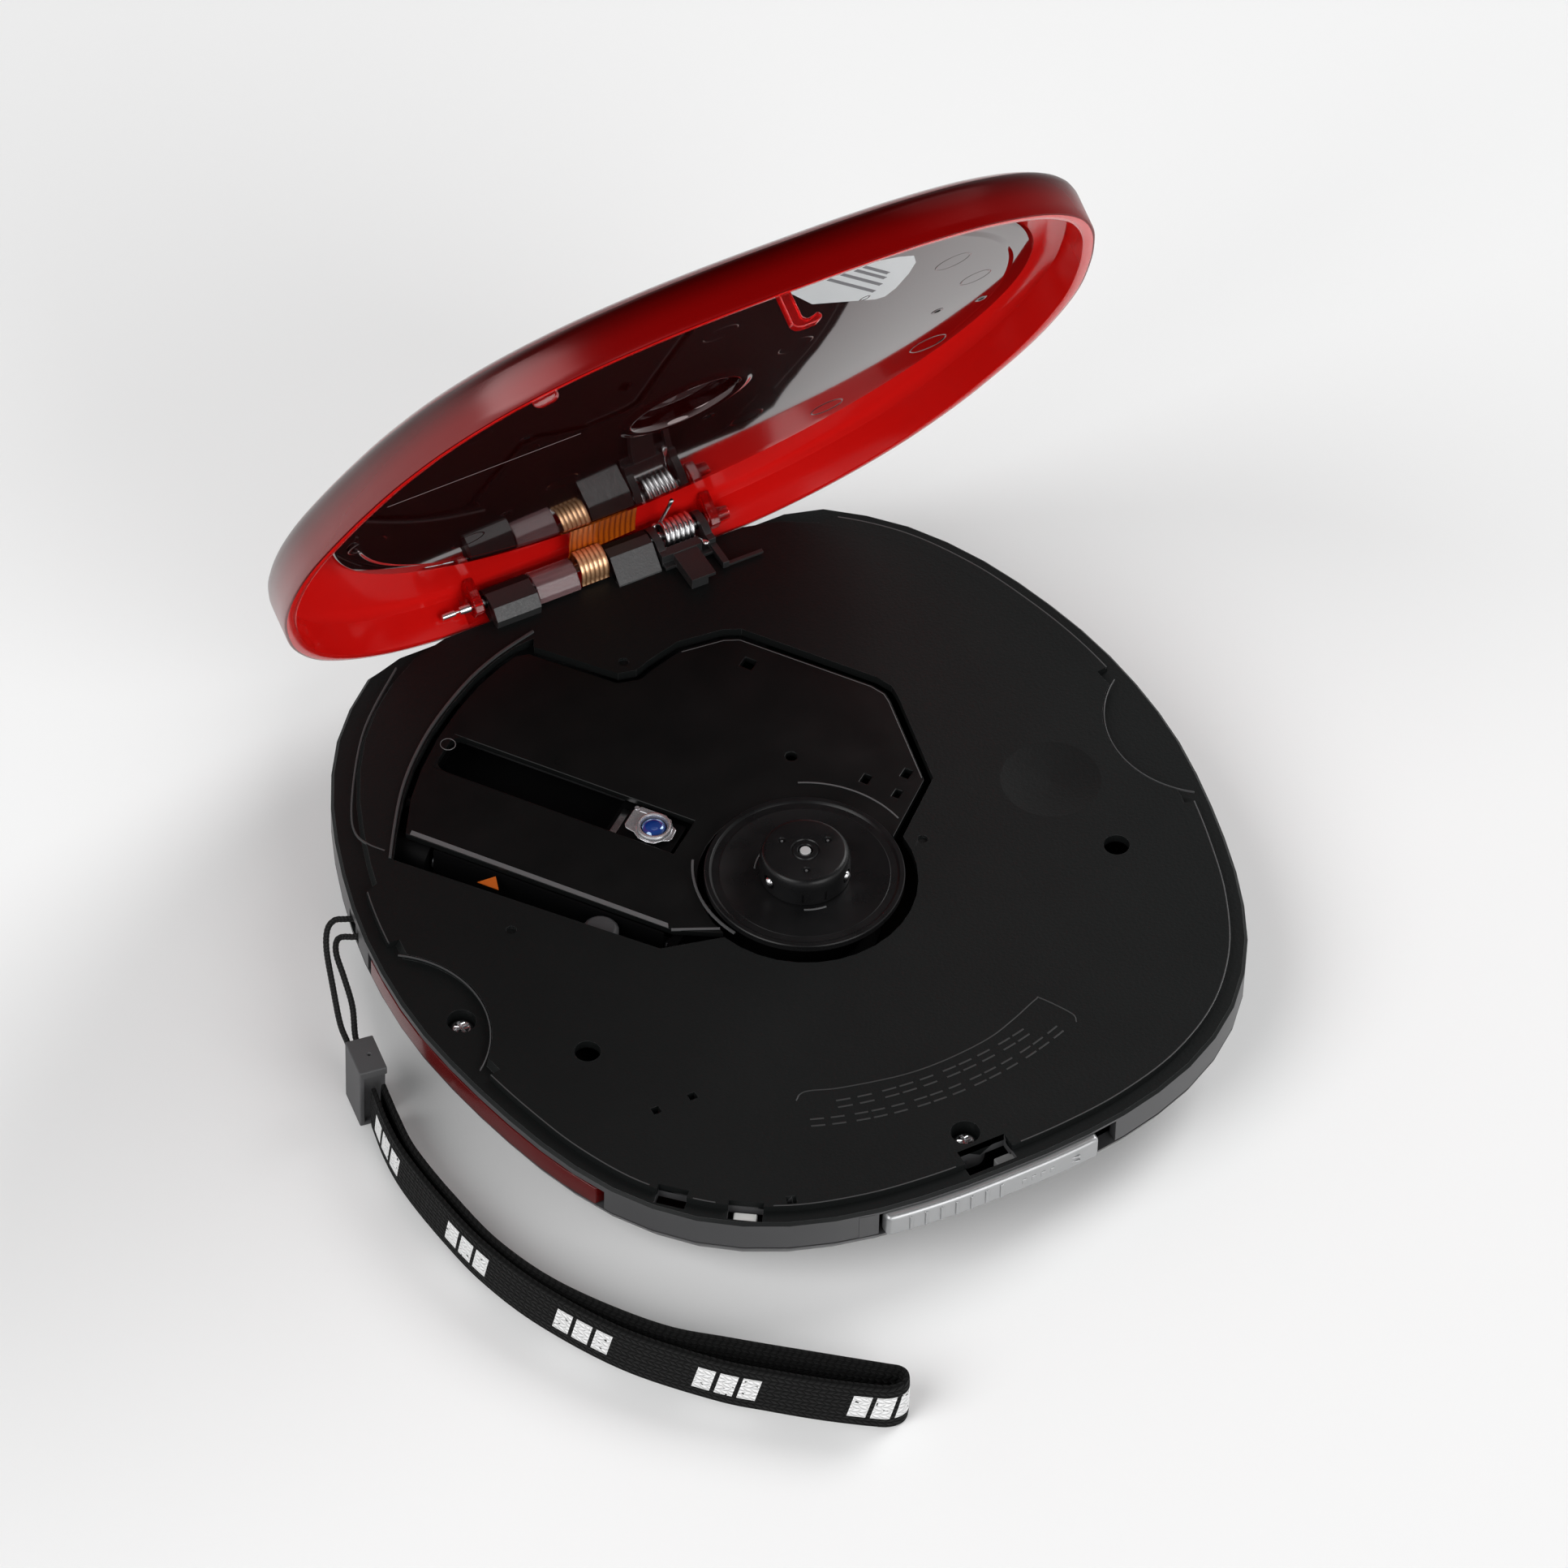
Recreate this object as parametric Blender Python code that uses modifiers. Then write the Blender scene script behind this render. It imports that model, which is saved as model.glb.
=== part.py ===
"""Portable CD player with its lid open, a wrist strap and its inside mechanism.

Lengths in this file are in millimetres and become metres as each mesh is made. X runs to the
player's right, Y to the lid hinge at the rear, Z up. The spindle stands at x = y = 0 and the
flat underside of the case is z = 0; the rubber feet reach a little below it. Pieces on the lid
are drawn with the lid shut and then turned about the hinge pin to the open rest pose.
"""

import math

import bmesh
import bpy
from mathutils import Matrix, Vector

MM = 0.001
GAP = 0.3

# Case
RIM = 17.0  # height of the ledge that the lid's edge lands on
SPLIT = 11.4  # lower edge of the upper half's side band
WALL = 1.8
REAR_FLAT = 74.1  # the case is cut off flat here, so the lid's rear skirt can drop behind it
PLATEAU = RIM + 1.2
DECK_UNDER = RIM - 0.4
LEDGE_UNDER = RIM - 1.7
RIM_POINTS = 64
HALF_OUTLINE = [
    (0.0, 82.2), (14.5, 81.6), (29.0, 79.0), (42.0, 73.0), (53.0, 63.0), (60.5, 50.6),
    (65.3, 37.6), (68.4, 25.0), (69.8, 12.3), (69.7, 0.0), (68.0, -12.0), (65.4, -23.8),
    (61.7, -35.6), (55.9, -46.9), (47.3, -56.3), (36.2, -62.8), (24.0, -66.4), (12.0, -67.9),
    (0.0, -68.2),
]  # right half, rear to front

# Hinge and lid
HINGE_Y = 76.3
HINGE_Z = RIM + 3.25
LID_OPEN = math.radians(62.7)
PIN_R = 0.8
KNUCKLE_BACK = [(76.3, 5.0), (77.7, 4.65), (78.5, 3.9), (78.75, 2.9), (78.3, 1.7), (77.3, 1.0),
                (76.0, 0.9)]  # (y, z above the rim), inside the lid's hinge hollow
HINGE_HOLLOW = 3.0
BORE_R = 1.15
LID_EDGE = RIM + 0.3
PLATE_R = 61.5
PLATE_Z = RIM + 5.4
PLATE_T = 1.2

# Mechanism, laid out along the pickup's travel (a) and across it (b)
ALONG = Vector((-0.6, 0.8, 0.0))
ACROSS = Vector((0.8, 0.6, 0.0))
PLATTER_R = 16.3
PLATTER_TOP = RIM + 2.63
HUB_R = 7.4
HUB_TOP = RIM + 7.79
ROD_B = 8.5
ROD_Z = RIM - 5.0
SCREW_B = -18.0
LENS_A = 27.0
SLOT_HALF = 4.0
DAMPER = (25.7, -22.8)

# Power
CELL_R = 7.1
CELL_L = 49.5
CELL_YS = [-41.3, -26.5]
CELL_Z = 9.25

# Strap
WEB_W = 10.0
WEB_T = 1.1
CORD_R = 0.5
FLOOR = -0.8  # the height of the table under the feet
WEB_ROUTE = [
    (-78.9, -1.3), (-80.2, -8.5), (-80.6, -16.0), (-79.7, -27.0), (-77.9, -38.0), (-73.9, -50.0),
    (-66.4, -64.0), (-56.6, -75.8), (-50.0, -81.8), (-43.2, -87.4), (-37.0, -91.9), (-34.6, -93.3),
    (-32.4, -93.4), (-31.1, -92.2), (-31.4, -90.6), (-33.4, -88.9), (-40.4, -83.2), (-52.3, -73.4),
    (-61.2, -65.4), (-70.6, -51.8), (-75.6, -39.6), (-77.7, -28.0), (-78.8, -16.0), (-78.2, -8.5),
    (-77.1, -1.3),
]
CORD_ROUTE = [
    (-78.2, 7.8, 7.8), (-77.8, 10.4, 8.0), (-77.3, 13.9, 8.6), (-75.4, 20.2, 10.0),
    (-73.6, 26.0, 12.1), (-72.0, 28.9, 13.4), (-70.3, 29.8, 13.9), (-68.7, 29.4, 13.8),
    (-67.1, 28.9, 13.5), (-65.7, 28.2, 13.2), (-65.5, 26.8, 13.0), (-66.7, 25.9, 12.8),
    (-68.3, 26.2, 12.5), (-70.2, 27.4, 12.2), (-71.4, 26.9, 12.0), (-72.4, 24.8, 11.5),
    (-73.0, 20.9, 10.2), (-74.0, 16.0, 8.8), (-76.1, 10.8, 7.9), (-76.7, 7.8, 7.7),
]

PARTS = bpy.data.collections.new("portable_cd_player")


def clear_scene():
    for ob in list(bpy.data.objects):
        bpy.data.objects.remove(ob, do_unlink=True)
    bpy.context.scene.collection.children.link(PARTS)


def plastic(name, colour, roughness=0.5, metallic=0.0, alpha=1.0):
    made = bpy.data.materials.get(name)
    if made:
        return made
    made = bpy.data.materials.new(name)
    made.use_nodes = True
    shader = made.node_tree.nodes["Principled BSDF"]
    shader.inputs["Base Color"].default_value = (*colour, 1.0)
    shader.inputs["Roughness"].default_value = roughness
    shader.inputs["Metallic"].default_value = metallic
    shader.inputs["Alpha"].default_value = alpha
    return made


BLACK = (0.016, 0.016, 0.017)
GREY = (0.05, 0.05, 0.052)
RED = (0.42, 0.012, 0.012)
STEEL = (0.62, 0.62, 0.63)
SILVER = (0.55, 0.56, 0.57)
COPPER = (0.62, 0.27, 0.06)
BOARD = (0.03, 0.16, 0.07)
RUBBER = (0.03, 0.03, 0.03)


# ---------------------------------------------------------------- mesh helpers


def solid(name, bm):
    """A scaled object from a bmesh drawn in millimetres."""
    bmesh.ops.recalc_face_normals(bm, faces=bm.faces)
    bmesh.ops.scale(bm, vec=(MM, MM, MM), verts=bm.verts)
    mesh = bpy.data.meshes.new(name)
    bm.to_mesh(mesh)
    bm.free()
    ob = bpy.data.objects.new(name, mesh)
    bpy.context.scene.collection.objects.link(ob)
    return ob


def loft(name, rings):
    """Rings of (x, y, z) joined side to side, with the first and last ring capped."""
    bm = bmesh.new()
    rows = [[bm.verts.new(p) for p in ring] for ring in rings]
    count = len(rows[0])
    for low, high in zip(rows, rows[1:]):
        for i in range(count):
            j = (i + 1) % count
            bm.faces.new((low[i], low[j], high[j], high[i]))
    bm.faces.new(rows[0])
    bm.faces.new(rows[-1])
    return solid(name, bm)


def prism(name, points, z0, z1):
    """A flat outline pulled up from z0 to z1."""
    return loft(name, [[(x, y, z0) for x, y in points], [(x, y, z1) for x, y in points]])


def prism_x(name, points, x0, x1):
    """A (y, z) outline pulled along X."""
    return loft(name, [[(x0, y, z) for y, z in points], [(x1, y, z) for y, z in points]])


def box(name, x0, x1, y0, y1, z0, z1):
    bm = bmesh.new()
    size = Matrix.Diagonal((x1 - x0, y1 - y0, z1 - z0, 1.0))
    middle = Matrix.Translation(((x0 + x1) / 2, (y0 + y1) / 2, (z0 + z1) / 2))
    bmesh.ops.create_cube(bm, size=1.0, matrix=middle @ size)
    return solid(name, bm)


def rod(name, start, end, radius, sides=20, tip=None):
    """A cylinder, or a cone when tip is given, from one point to another."""
    start = Vector(start)
    end = Vector(end)
    way = end - start
    turn = way.to_track_quat("Z", "Y").to_matrix().to_4x4()
    bm = bmesh.new()
    bmesh.ops.create_cone(
        bm, cap_ends=True, segments=sides, radius1=radius,
        radius2=radius if tip is None else tip, depth=way.length,
        matrix=Matrix.Translation((start + end) / 2) @ turn,
    )
    return solid(name, bm)


def ball(name, centre, radius):
    bm = bmesh.new()
    bmesh.ops.create_uvsphere(
        bm, u_segments=10, v_segments=6, radius=radius, matrix=Matrix.Translation(centre)
    )
    return solid(name, bm)


def turned(name, profile, centre=(0.0, 0.0), sides=48):
    """A solid of revolution about a vertical axis from (radius, z) points, bottom to top."""
    rings = []
    for radius, z in profile:
        rings.append([
            (centre[0] + radius * math.cos(t), centre[1] + radius * math.sin(t), z)
            for t in (2 * math.pi * i / sides for i in range(sides))
        ])
    return loft(name, rings)


def combine(ob, others, how="DIFFERENCE"):
    """Cut from, or join to, ob each of the others, which are then removed."""
    for other in others:
        step = ob.modifiers.new("step", "BOOLEAN")
        step.operation = how
        step.solver = "EXACT"
        step.object = other
        bpy.context.view_layer.update()
        seen = ob.evaluated_get(bpy.context.evaluated_depsgraph_get())
        mesh = bpy.data.meshes.new_from_object(seen)
        ob.modifiers.clear()
        old = ob.data
        ob.data = mesh
        bpy.data.meshes.remove(old)
        bpy.data.objects.remove(other, do_unlink=True)
    return ob


def tube(name, points, radius, sides_resolution=2):
    """A round wire along points, turned into a closed mesh."""
    curve = bpy.data.curves.new(name, "CURVE")
    curve.dimensions = "3D"
    curve.bevel_depth = radius * MM
    curve.bevel_resolution = sides_resolution
    curve.use_fill_caps = True
    line = curve.splines.new("POLY")
    line.points.add(len(points) - 1)
    for knot, p in zip(line.points, points):
        knot.co = (p[0] * MM, p[1] * MM, p[2] * MM, 1.0)
    made = bpy.data.objects.new(name, curve)
    bpy.context.scene.collection.objects.link(made)
    bpy.context.view_layer.update()
    seen = made.evaluated_get(bpy.context.evaluated_depsgraph_get())
    mesh = bpy.data.meshes.new_from_object(seen)
    bpy.data.objects.remove(made, do_unlink=True)
    bm = bmesh.new()
    bm.from_mesh(mesh)
    bmesh.ops.remove_doubles(bm, verts=bm.verts, dist=1e-6)
    bmesh.ops.recalc_face_normals(bm, faces=bm.faces)
    bm.to_mesh(mesh)
    bm.free()
    ob = bpy.data.objects.new(name, mesh)
    bpy.context.scene.collection.objects.link(ob)
    return ob


def smooth_path(points, per_span):
    """Points along a smooth curve through the given ones (Catmull-Rom, open)."""
    given = [Vector(p) for p in points]
    padded = [2 * given[0] - given[1]] + given + [2 * given[-1] - given[-2]]
    path = []
    for i in range(1, len(padded) - 2):
        p0, p1, p2, p3 = padded[i - 1:i + 3]
        for k in range(per_span):
            t = k / per_span
            path.append(
                0.5 * (2 * p1 + (p2 - p0) * t + (2 * p0 - 5 * p1 + 4 * p2 - p3) * t * t
                       + (3 * p1 - p0 - 3 * p2 + p3) * t * t * t)
            )
    path.append(given[-1])
    return path


def finish(ob, material, pivot=(0.0, 0.0, 0.0), smooth=True, lid=False):
    """Name the material, put the origin on the pivot, and turn lid pieces to the open pose."""
    ob.data.materials.clear()
    ob.data.materials.append(material)
    if lid:
        pivot = (0.0, HINGE_Y, HINGE_Z)
    origin = Vector(pivot) * MM
    ob.data.transform(Matrix.Translation(-origin))
    ob.location = origin
    if lid:
        ob.rotation_euler = (-LID_OPEN, 0.0, 0.0)
    if smooth:
        ob.data.shade_smooth()
        ob.data.set_sharp_from_angle(angle=math.radians(35))
    for users in list(ob.users_collection):
        users.objects.unlink(ob)
    PARTS.objects.link(ob)
    return ob


# ---------------------------------------------------------------- the egg-shaped outline


def even_outline():
    """The whole outline as evenly spaced points, anticlockwise from the front middle."""
    left = [(-x, y) for x, y in HALF_OUTLINE[1:-1]]
    loop = list(reversed(HALF_OUTLINE)) + left
    closed = [Vector((x, y, 0.0)) for x, y in loop]
    count = len(closed)
    fine = []
    for i in range(count):
        p0, p1, p2, p3 = (closed[(i + k) % count] for k in (-1, 0, 1, 2))
        for k in range(12):
            t = k / 12
            fine.append(
                0.5 * (2 * p1 + (p2 - p0) * t + (2 * p0 - 5 * p1 + 4 * p2 - p3) * t * t
                       + (3 * p1 - p0 - 3 * p2 + p3) * t * t * t)
            )
    run = [0.0]
    for a, b in zip(fine, fine[1:] + fine[:1]):
        run.append(run[-1] + (b - a).length)
    even = []
    j = 0
    for i in range(RIM_POINTS):
        want = run[-1] * i / RIM_POINTS
        while run[j + 1] < want:
            j += 1
        part = (want - run[j]) / (run[j + 1] - run[j])
        even.append(fine[j].lerp(fine[(j + 1) % len(fine)], part))
    return even


OUTLINE = even_outline()


def egg(offset, rear=None, scale=1.0):
    """The outline moved outwards by offset, or scaled about its middle, cut flat at the rear.

    The flat leans in by a tenth of the offset, so no two rings of a loft share a line there.
    """
    points = []
    for i, p in enumerate(OUTLINE):
        way = OUTLINE[(i + 1) % RIM_POINTS] - OUTLINE[i - 1]
        out = Vector((way.y, -way.x, 0.0)).normalized()
        q = p + out * offset
        x, y = q.x * scale, 6.0 + (q.y - 6.0) * scale
        points.append((x, y if rear is None else min(y, rear + 0.1 * offset)))
    return points


def egg_rings(steps, rear=None):
    """Loft rings from (z, offset) or (z, offset, scale) steps."""
    rings = []
    for step in steps:
        z, offset = step[:2]
        scale = step[2] if len(step) > 2 else 1.0
        rings.append([(x, y, z) for x, y in egg(offset, rear, scale)])
    return rings


def along_wall(line, lead, at):
    """The point of a wall line, sorted by its coordinate lead, where that coordinate equals at."""
    for a, b in zip(line, line[1:]):
        if a[lead] <= at <= b[lead]:
            part = (at - a[lead]) / (b[lead] - a[lead])
            return (a[0] + (b[0] - a[0]) * part, a[1] + (b[1] - a[1]) * part)
    raise ValueError(at)


def wall_strip(lead, low, high, outer, inner, wanted, pieces=10):
    """A polygon between two offsets of the wall, from one coordinate value to another."""
    spots = [low + (high - low) * i / pieces for i in range(pieces + 1)]
    sides = []
    for offset in (outer, inner):
        line = sorted((p for p in egg(offset) if wanted(p)), key=lambda p: p[lead])
        sides.append([along_wall(line, lead, at) for at in spots])
    return sides[0] + sides[1][::-1]


def side_strip(side, y0, y1, outer, inner):
    return wall_strip(1, y0, y1, outer, inner, lambda p: p[0] * side > 0)


def front_strip(x0, x1, outer, inner):
    return wall_strip(0, x0, x1, outer, inner, lambda p: p[1] < 0)


def mech(a, b, z):
    """A point of the mechanism, from its along and across distances."""
    p = ALONG * a + ACROSS * b
    return (p.x, p.y, z)


def mech_box(name, a0, a1, b0, b1, z0, z1):
    corners = [mech(a, b, 0)[:2] for a, b in ((a0, b0), (a0, b1), (a1, b1), (a1, b0))]
    return prism(name, corners, z0, z1)


def turned_box(name, x, y, length, width, degrees, z0, z1):
    """A box whose length lies at an angle to X."""
    c, s = math.cos(math.radians(degrees)), math.sin(math.radians(degrees))
    corners = []
    for u, v in ((-1, -1), (1, -1), (1, 1), (-1, 1)):
        u, v = u * length / 2, v * width / 2
        corners.append((x + u * c - v * s, y + u * s + v * c))
    return prism(name, corners, z0, z1)


def arc(radius, start, end, steps, centre=(0.0, 0.0)):
    """Points on a circle, by degrees."""
    angles = [math.radians(start + (end - start) * i / steps) for i in range(steps + 1)]
    return [(centre[0] + radius * math.cos(t), centre[1] + radius * math.sin(t)) for t in angles]


# ---------------------------------------------------------------- case


def mechanism_opening():
    """The hole in the deck, anticlockwise."""
    front = arc(18.5, 197.5, 361.5, 16)
    right = [(29, 9.5), (32.6, 28.0), (32.8, 30.6), (31.5, 33.5), (16.8, 53.2), (14, 54.5)]
    rear = [(6, 55.5), (0, 54), (-3, 52.9), (-6, 53.6), (-15.6, 65.2), (-14.8, 67.0)]
    left = [(-18.5, 66.6), (-22.5, 65.4), (-27.5, 63.4), (-33.4, 60.0), (-39.4, 55.8),
            (-45.0, 50.8), (-49.6, 45.6), (-54.0, 39.4), (-57.6, 33.8), (-28, -3)]
    return front + right + rear + left


def top_deck(material):
    """Upper half of the case: side band, ledge for the lid, raised deck and hinge knuckles."""
    deck = loft("top_deck", egg_rings([
        (SPLIT, 0.0), (RIM - 0.5, 0.0), (RIM, -0.5), (RIM, -4.2), (PLATEAU, -4.8),
    ], REAR_FLAT))
    recess = 17.5
    for side in (-1, 1):
        grip = rod("grip", (side * 76, 1, RIM), (side * 76, 1, RIM + 6), recess, 48)
        combine(deck, [grip])
    low = loft("low", egg_rings([(SPLIT - 2, -WALL), (LEDGE_UNDER, -WALL)], REAR_FLAT - WALL))
    high = loft("high", egg_rings([(LEDGE_UNDER - 0.5, -6.4), (DECK_UNDER, -6.4)],
                                  REAR_FLAT - 2.4))
    for side in (-1, 1):
        keep = rod("keep", (side * 76, 1, RIM - 9), (side * 76, 1, RIM + 6), recess + 1.8, 48)
        combine(high, [keep])
    combine(deck, [low, high])
    bosses = [((-63, -1.2), RIM - 4.6, RIM - 1.0), ((-3, -59.5), RIM - 4.0, RIM - 0.2)]
    for (x, y), z0, z1 in bosses:
        combine(deck, [rod("boss", (x, y, z0), (x, y, z1), 3.3, 24)], "UNION")
        combine(deck, [
            rod("well", (x, y, z0 + 1.6), (x, y, RIM + 5), 2.4, 24),
            rod("shaft", (x, y, z0 - 2), (x, y, RIM), 1.4, 16),
        ])
    for x in (-1, 1):
        combine(deck, [rod("hole", (x * 48.5, -17, RIM - 5), (x * 48.5, -17, RIM + 5), 2.15, 24)])
    combine(deck, [prism("opening", mechanism_opening(), RIM - 5, RIM + 5)])
    for x, y in ((-44.5, -33), (-38, -33), (-34.5, -59.3)):
        combine(deck, [turned_box("pin", x, y, 1.4, 1.4, 0, RIM - 5, RIM + 5)])
    for x, y in ((-4, 55.5), (-47.5, 11.5), (21, -1.5)):
        combine(deck, [rod("dot", (x, y, PLATEAU - 0.5), (x, y, PLATEAU + 2), 0.9, 12)])
    dish = turned("dish", [(0.2, PLATEAU - 0.5), (4.5, PLATEAU - 0.36), (8.5, PLATEAU + 0.02),
                           (9.5, PLATEAU + 1)], (46, 0.5), 32)
    combine(deck, [dish])
    combine(deck, [
        turned_box("tab_slot", -50.5, -49.5, 5.0, 2.9, -44, RIM - 6, RIM + 5),
        turned_box("lever_slot", -41.5, -57.5, 5.6, 2.9, -34, RIM - 6, RIM + 5),
        box("hook_slot", -6.2, 2.3, -66.9, -62.6, RIM - 6, RIM + 5),
        box("slider_gap", -22.4, 20.4, -73, -64.6, SPLIT - 2, RIM - 0.9),
        prism("trim_gap", side_strip(-1, -42.2, 20, 2, -2.4), SPLIT - 2, RIM - 1.6),
        turned_box("strap_gap", -67.5, 27.6, 4.4, 5.4, -14, RIM - 5.2, RIM - 2.0),
    ])
    post = rod("post", (-67.1, 27.35, SPLIT), (-67.1, 27.35, LEDGE_UNDER + 1), 0.5, 12)
    combine(deck, [post], "UNION")
    knuckle = [(71.9, 0.2), (71.9, 2.5), (74.5, 4.7)] + KNUCKLE_BACK + [(74.4, 0.4), (74.2, -0.2)]
    for x0, x1 in ((-19.1, -10.9), (3.2, 11.2)):
        arm = prism_x("arm", [(y, z + RIM) for y, z in knuckle], x0, x1)
        combine(deck, [arm], "UNION")
    combine(deck, [rod("bore", (-20, HINGE_Y, HINGE_Z), (12, HINGE_Y, HINGE_Z), BORE_R, 20)])
    return finish(deck, material)


def bottom_case(material):
    case = loft("bottom_case", egg_rings([
        (0.0, -15.0), (0.4, -13.2), (1.6, -10.0), (4.0, -6.0), (7.5, -2.4), (10.0, -0.5),
        (SPLIT - GAP, 0.0),
    ], REAR_FLAT))
    hollow = loft("hollow", egg_rings([
        (1.8, -17.0), (2.4, -14.6), (4.4, -9.4), (7.8, -4.9), (10.2, -2.6), (14.0, -1.9),
    ], REAR_FLAT - WALL))
    combine(case, [hollow])
    combine(case, [box("door_gap", -28.4, 28.4, -50.0, -17.5, -2, 3)])
    for x, y in FEET:
        combine(case, [rod("pocket", (x, y, -2), (x, y, 0.8), 4.8, 24)])
    for y in (12.0, 26.0):
        combine(case, [rod("port", (58, y, 7.4), (75, y, 7.4), 3.3, 20)])
    combine(case, [prism("switch_gap", side_strip(1, -12, 0, 2, -8), 6.2, 9.0)])
    return finish(case, material)


FEET = [(-38, -36), (38, -36), (-38, 50), (38, 50)]


def case_pieces():
    black = plastic("deck_black", BLACK, 0.55)
    grey = plastic("case_grey", GREY, 0.45)
    steel = plastic("bright_steel", STEEL, 0.28, 1.0)
    rubber = plastic("foot_rubber", RUBBER, 0.8)
    top_deck(black)
    bottom_case(grey)
    trim = prism("side_trim", side_strip(-1, -40.7, 18.5, 0.1, -1.5), SPLIT, RIM - 1.9)
    finish(trim, plastic("trim_red", RED, 0.15, 0.0, 0.75))
    for i, (x, y) in enumerate(FEET):
        foot = rod(f"foot_{i + 1}", (x, y, FLOOR), (x, y, 0.5), 4.5, 24)
        finish(foot, rubber)
    for name, x, y, seat in (("deck_screw_left", -63, -1.2, RIM - 3.0),
                             ("deck_screw_front", -3, -59.5, RIM - 2.4)):
        screw = turned(name, [(1.0, seat - 6), (1.1, seat + GAP), (2.1, seat + GAP),
                              (2.1, seat + 0.9), (1.5, seat + 1.4)], (x, y), 20)
        arms = [box("cross", x - 1.3, x + 1.3, y - 0.25, y + 0.25, seat + 0.9, seat + 3),
                box("cross", x - 0.25, x + 0.25, y - 1.3, y + 1.3, seat + 0.9, seat + 3)]
        combine(screw, arms)
        finish(screw, steel)


def opening_latch():
    """The silver slider on the front wall and the bar it moves behind the lid's hook."""
    strip = front_strip(-21.6, 16.4, 1.3, -1.1)
    slider = prism("open_slider", strip, SPLIT + 0.2, RIM - 1.2)
    finish(slider, plastic("slider_silver", SILVER, 0.3, 0.8), (0.0, -68.0, RIM - 3))
    bar = box("latch_bar", -0.3, 8.0, -66.5, -64.1, RIM - 3.8, RIM - 2.0)
    finish(bar, plastic("latch_grey", (0.2, 0.2, 0.2), 0.5), (0.0, -65.0, RIM - 3), False)
    lever = turned_box("lid_switch", -41.5, -57.5, 3.8, 1.7, -34, RIM - 4.4, RIM - 0.9)
    finish(lever, plastic("switch_white", (0.8, 0.8, 0.78), 0.4), (-41.5, -57.5, RIM), False)


def power_and_board():
    """Cells, contacts, door, main board, its chip and the sockets on the right side."""
    steel = plastic("contact_steel", STEEL, 0.3, 1.0)
    for name, y, way in (("battery_front", CELL_YS[0], 1), ("battery_rear", CELL_YS[1], -1)):
        ends = [(-CELL_L / 2, CELL_R), (CELL_L / 2 - 1.2, CELL_R), (CELL_L / 2 - 1.2, 2.7),
                (CELL_L / 2, 2.7)]
        rings = []
        for x, r in ends:
            rings.append([
                (way * x, y + r * math.cos(t), CELL_Z + r * math.sin(t))
                for t in (2 * math.pi * i / 24 for i in range(24))
            ])
        cell = loft(name, rings)
        finish(cell, plastic("cell_sleeve", (0.12, 0.12, 0.14), 0.35, 0.6))
    for name, x in (("contact_left", -25.6), ("contact_right", 25.1)):
        plate = box(name, x, x + 0.5, -47.5, -20.5, 4.6, 14.0)
        finish(plate, steel, smooth=False)
    door = box("battery_door", -28.0, 28.0, -49.6, -17.9, 0.0, 1.5)
    combine(door, [box("grip", -6, 6, -46, -43, -1, 0.7)])
    finish(door, plastic("case_grey", GREY), (0.0, -17.9, 0.0), False)
    board = prism("main_board", [
        (-44, 2), (-40, -12), (-28, -15), (43, -15), (44, 4), (54, 7), (53, 24), (49, 36),
        (43, 46), (33, 56), (18, 62), (-18, 62), (-33, 53), (-44, 34),
    ], 3.0, 4.2)
    x, y, _ = mech(*DAMPER, 0)
    combine(board, [rod("hole", (x, y, 0), (x, y, 9), 3.3, 20)])
    finish(board, plastic("board_green", BOARD, 0.4), smooth=False)
    for name, y, hole in (("headphone_jack", 12.0, 1.8), ("dc_jack", 26.0, 2.0)):
        face = 67.2 if y < 20 else 65.8
        jack = box(name, 45, 55.5, y - 3.4, y + 3.4, 4.6, 10.4)
        combine(jack, [rod("barrel", (54, y, 7.4), (face, y, 7.4), 2.9, 20)], "UNION")
        combine(jack, [rod("hole", (47, y, 7.4), (75, y, 7.4), hole, 16)])
        finish(jack, plastic("jack_black", (0.03, 0.03, 0.03), 0.4))
    knob = prism("bass_switch", side_strip(1, -9.5, -3.2, -0.8, -6.4), 6.5, 8.7)
    finish(knob, plastic("knob_grey", (0.16, 0.16, 0.17), 0.5), (66, -6, 7.6), False)


# ---------------------------------------------------------------- mechanism


def mech_plate():
    front = arc(17.4, 193.6, 5.4, 20)
    right = [(27.9, 10.4), (31.4, 28.3), (31.5, 30.3), (30.4, 32.9), (15.9, 52.2), (13.5, 53.3)]
    rear = [(6, 54.2), (0.2, 52.7), (-3, 51.5), (-6.7, 52.4), (-16.7, 64.9)]
    left = [(-19.0, 65.5), (-22.2, 64.5), (-27.0, 62.5), (-32.8, 59.2), (-38.7, 55.0),
            (-44.2, 50.1), (-48.7, 45.0), (-52.9, 38.6)]
    plate = prism("mech_plate", front + right + rear + left + [(-24, 0.2)], RIM - 0.8, RIM + 0.4)
    combine(plate, [mech_box("slot", 21.5, 65.0, -SLOT_HALF, SLOT_HALF, RIM - 4, RIM + 4)])
    for x, y, w, h, turn in ((14.5, 46.5, 2.2, 2.2, 35), (19.5, 15, 2, 1.4, 35),
                             (26, 13, 2, 1.4, 35), (22.5, 9.8, 1.8, 1.2, 35)):
        combine(plate, [turned_box("peg", x, y, w, h, turn, RIM - 4, RIM + 4)])
    combine(plate, [rod("peg", (11, 25, RIM - 4), (11, 25, RIM + 4), 1.0, 12)])
    finish(plate, plastic("mech_black", (0.012, 0.012, 0.013), 0.4), smooth=False)


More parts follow.
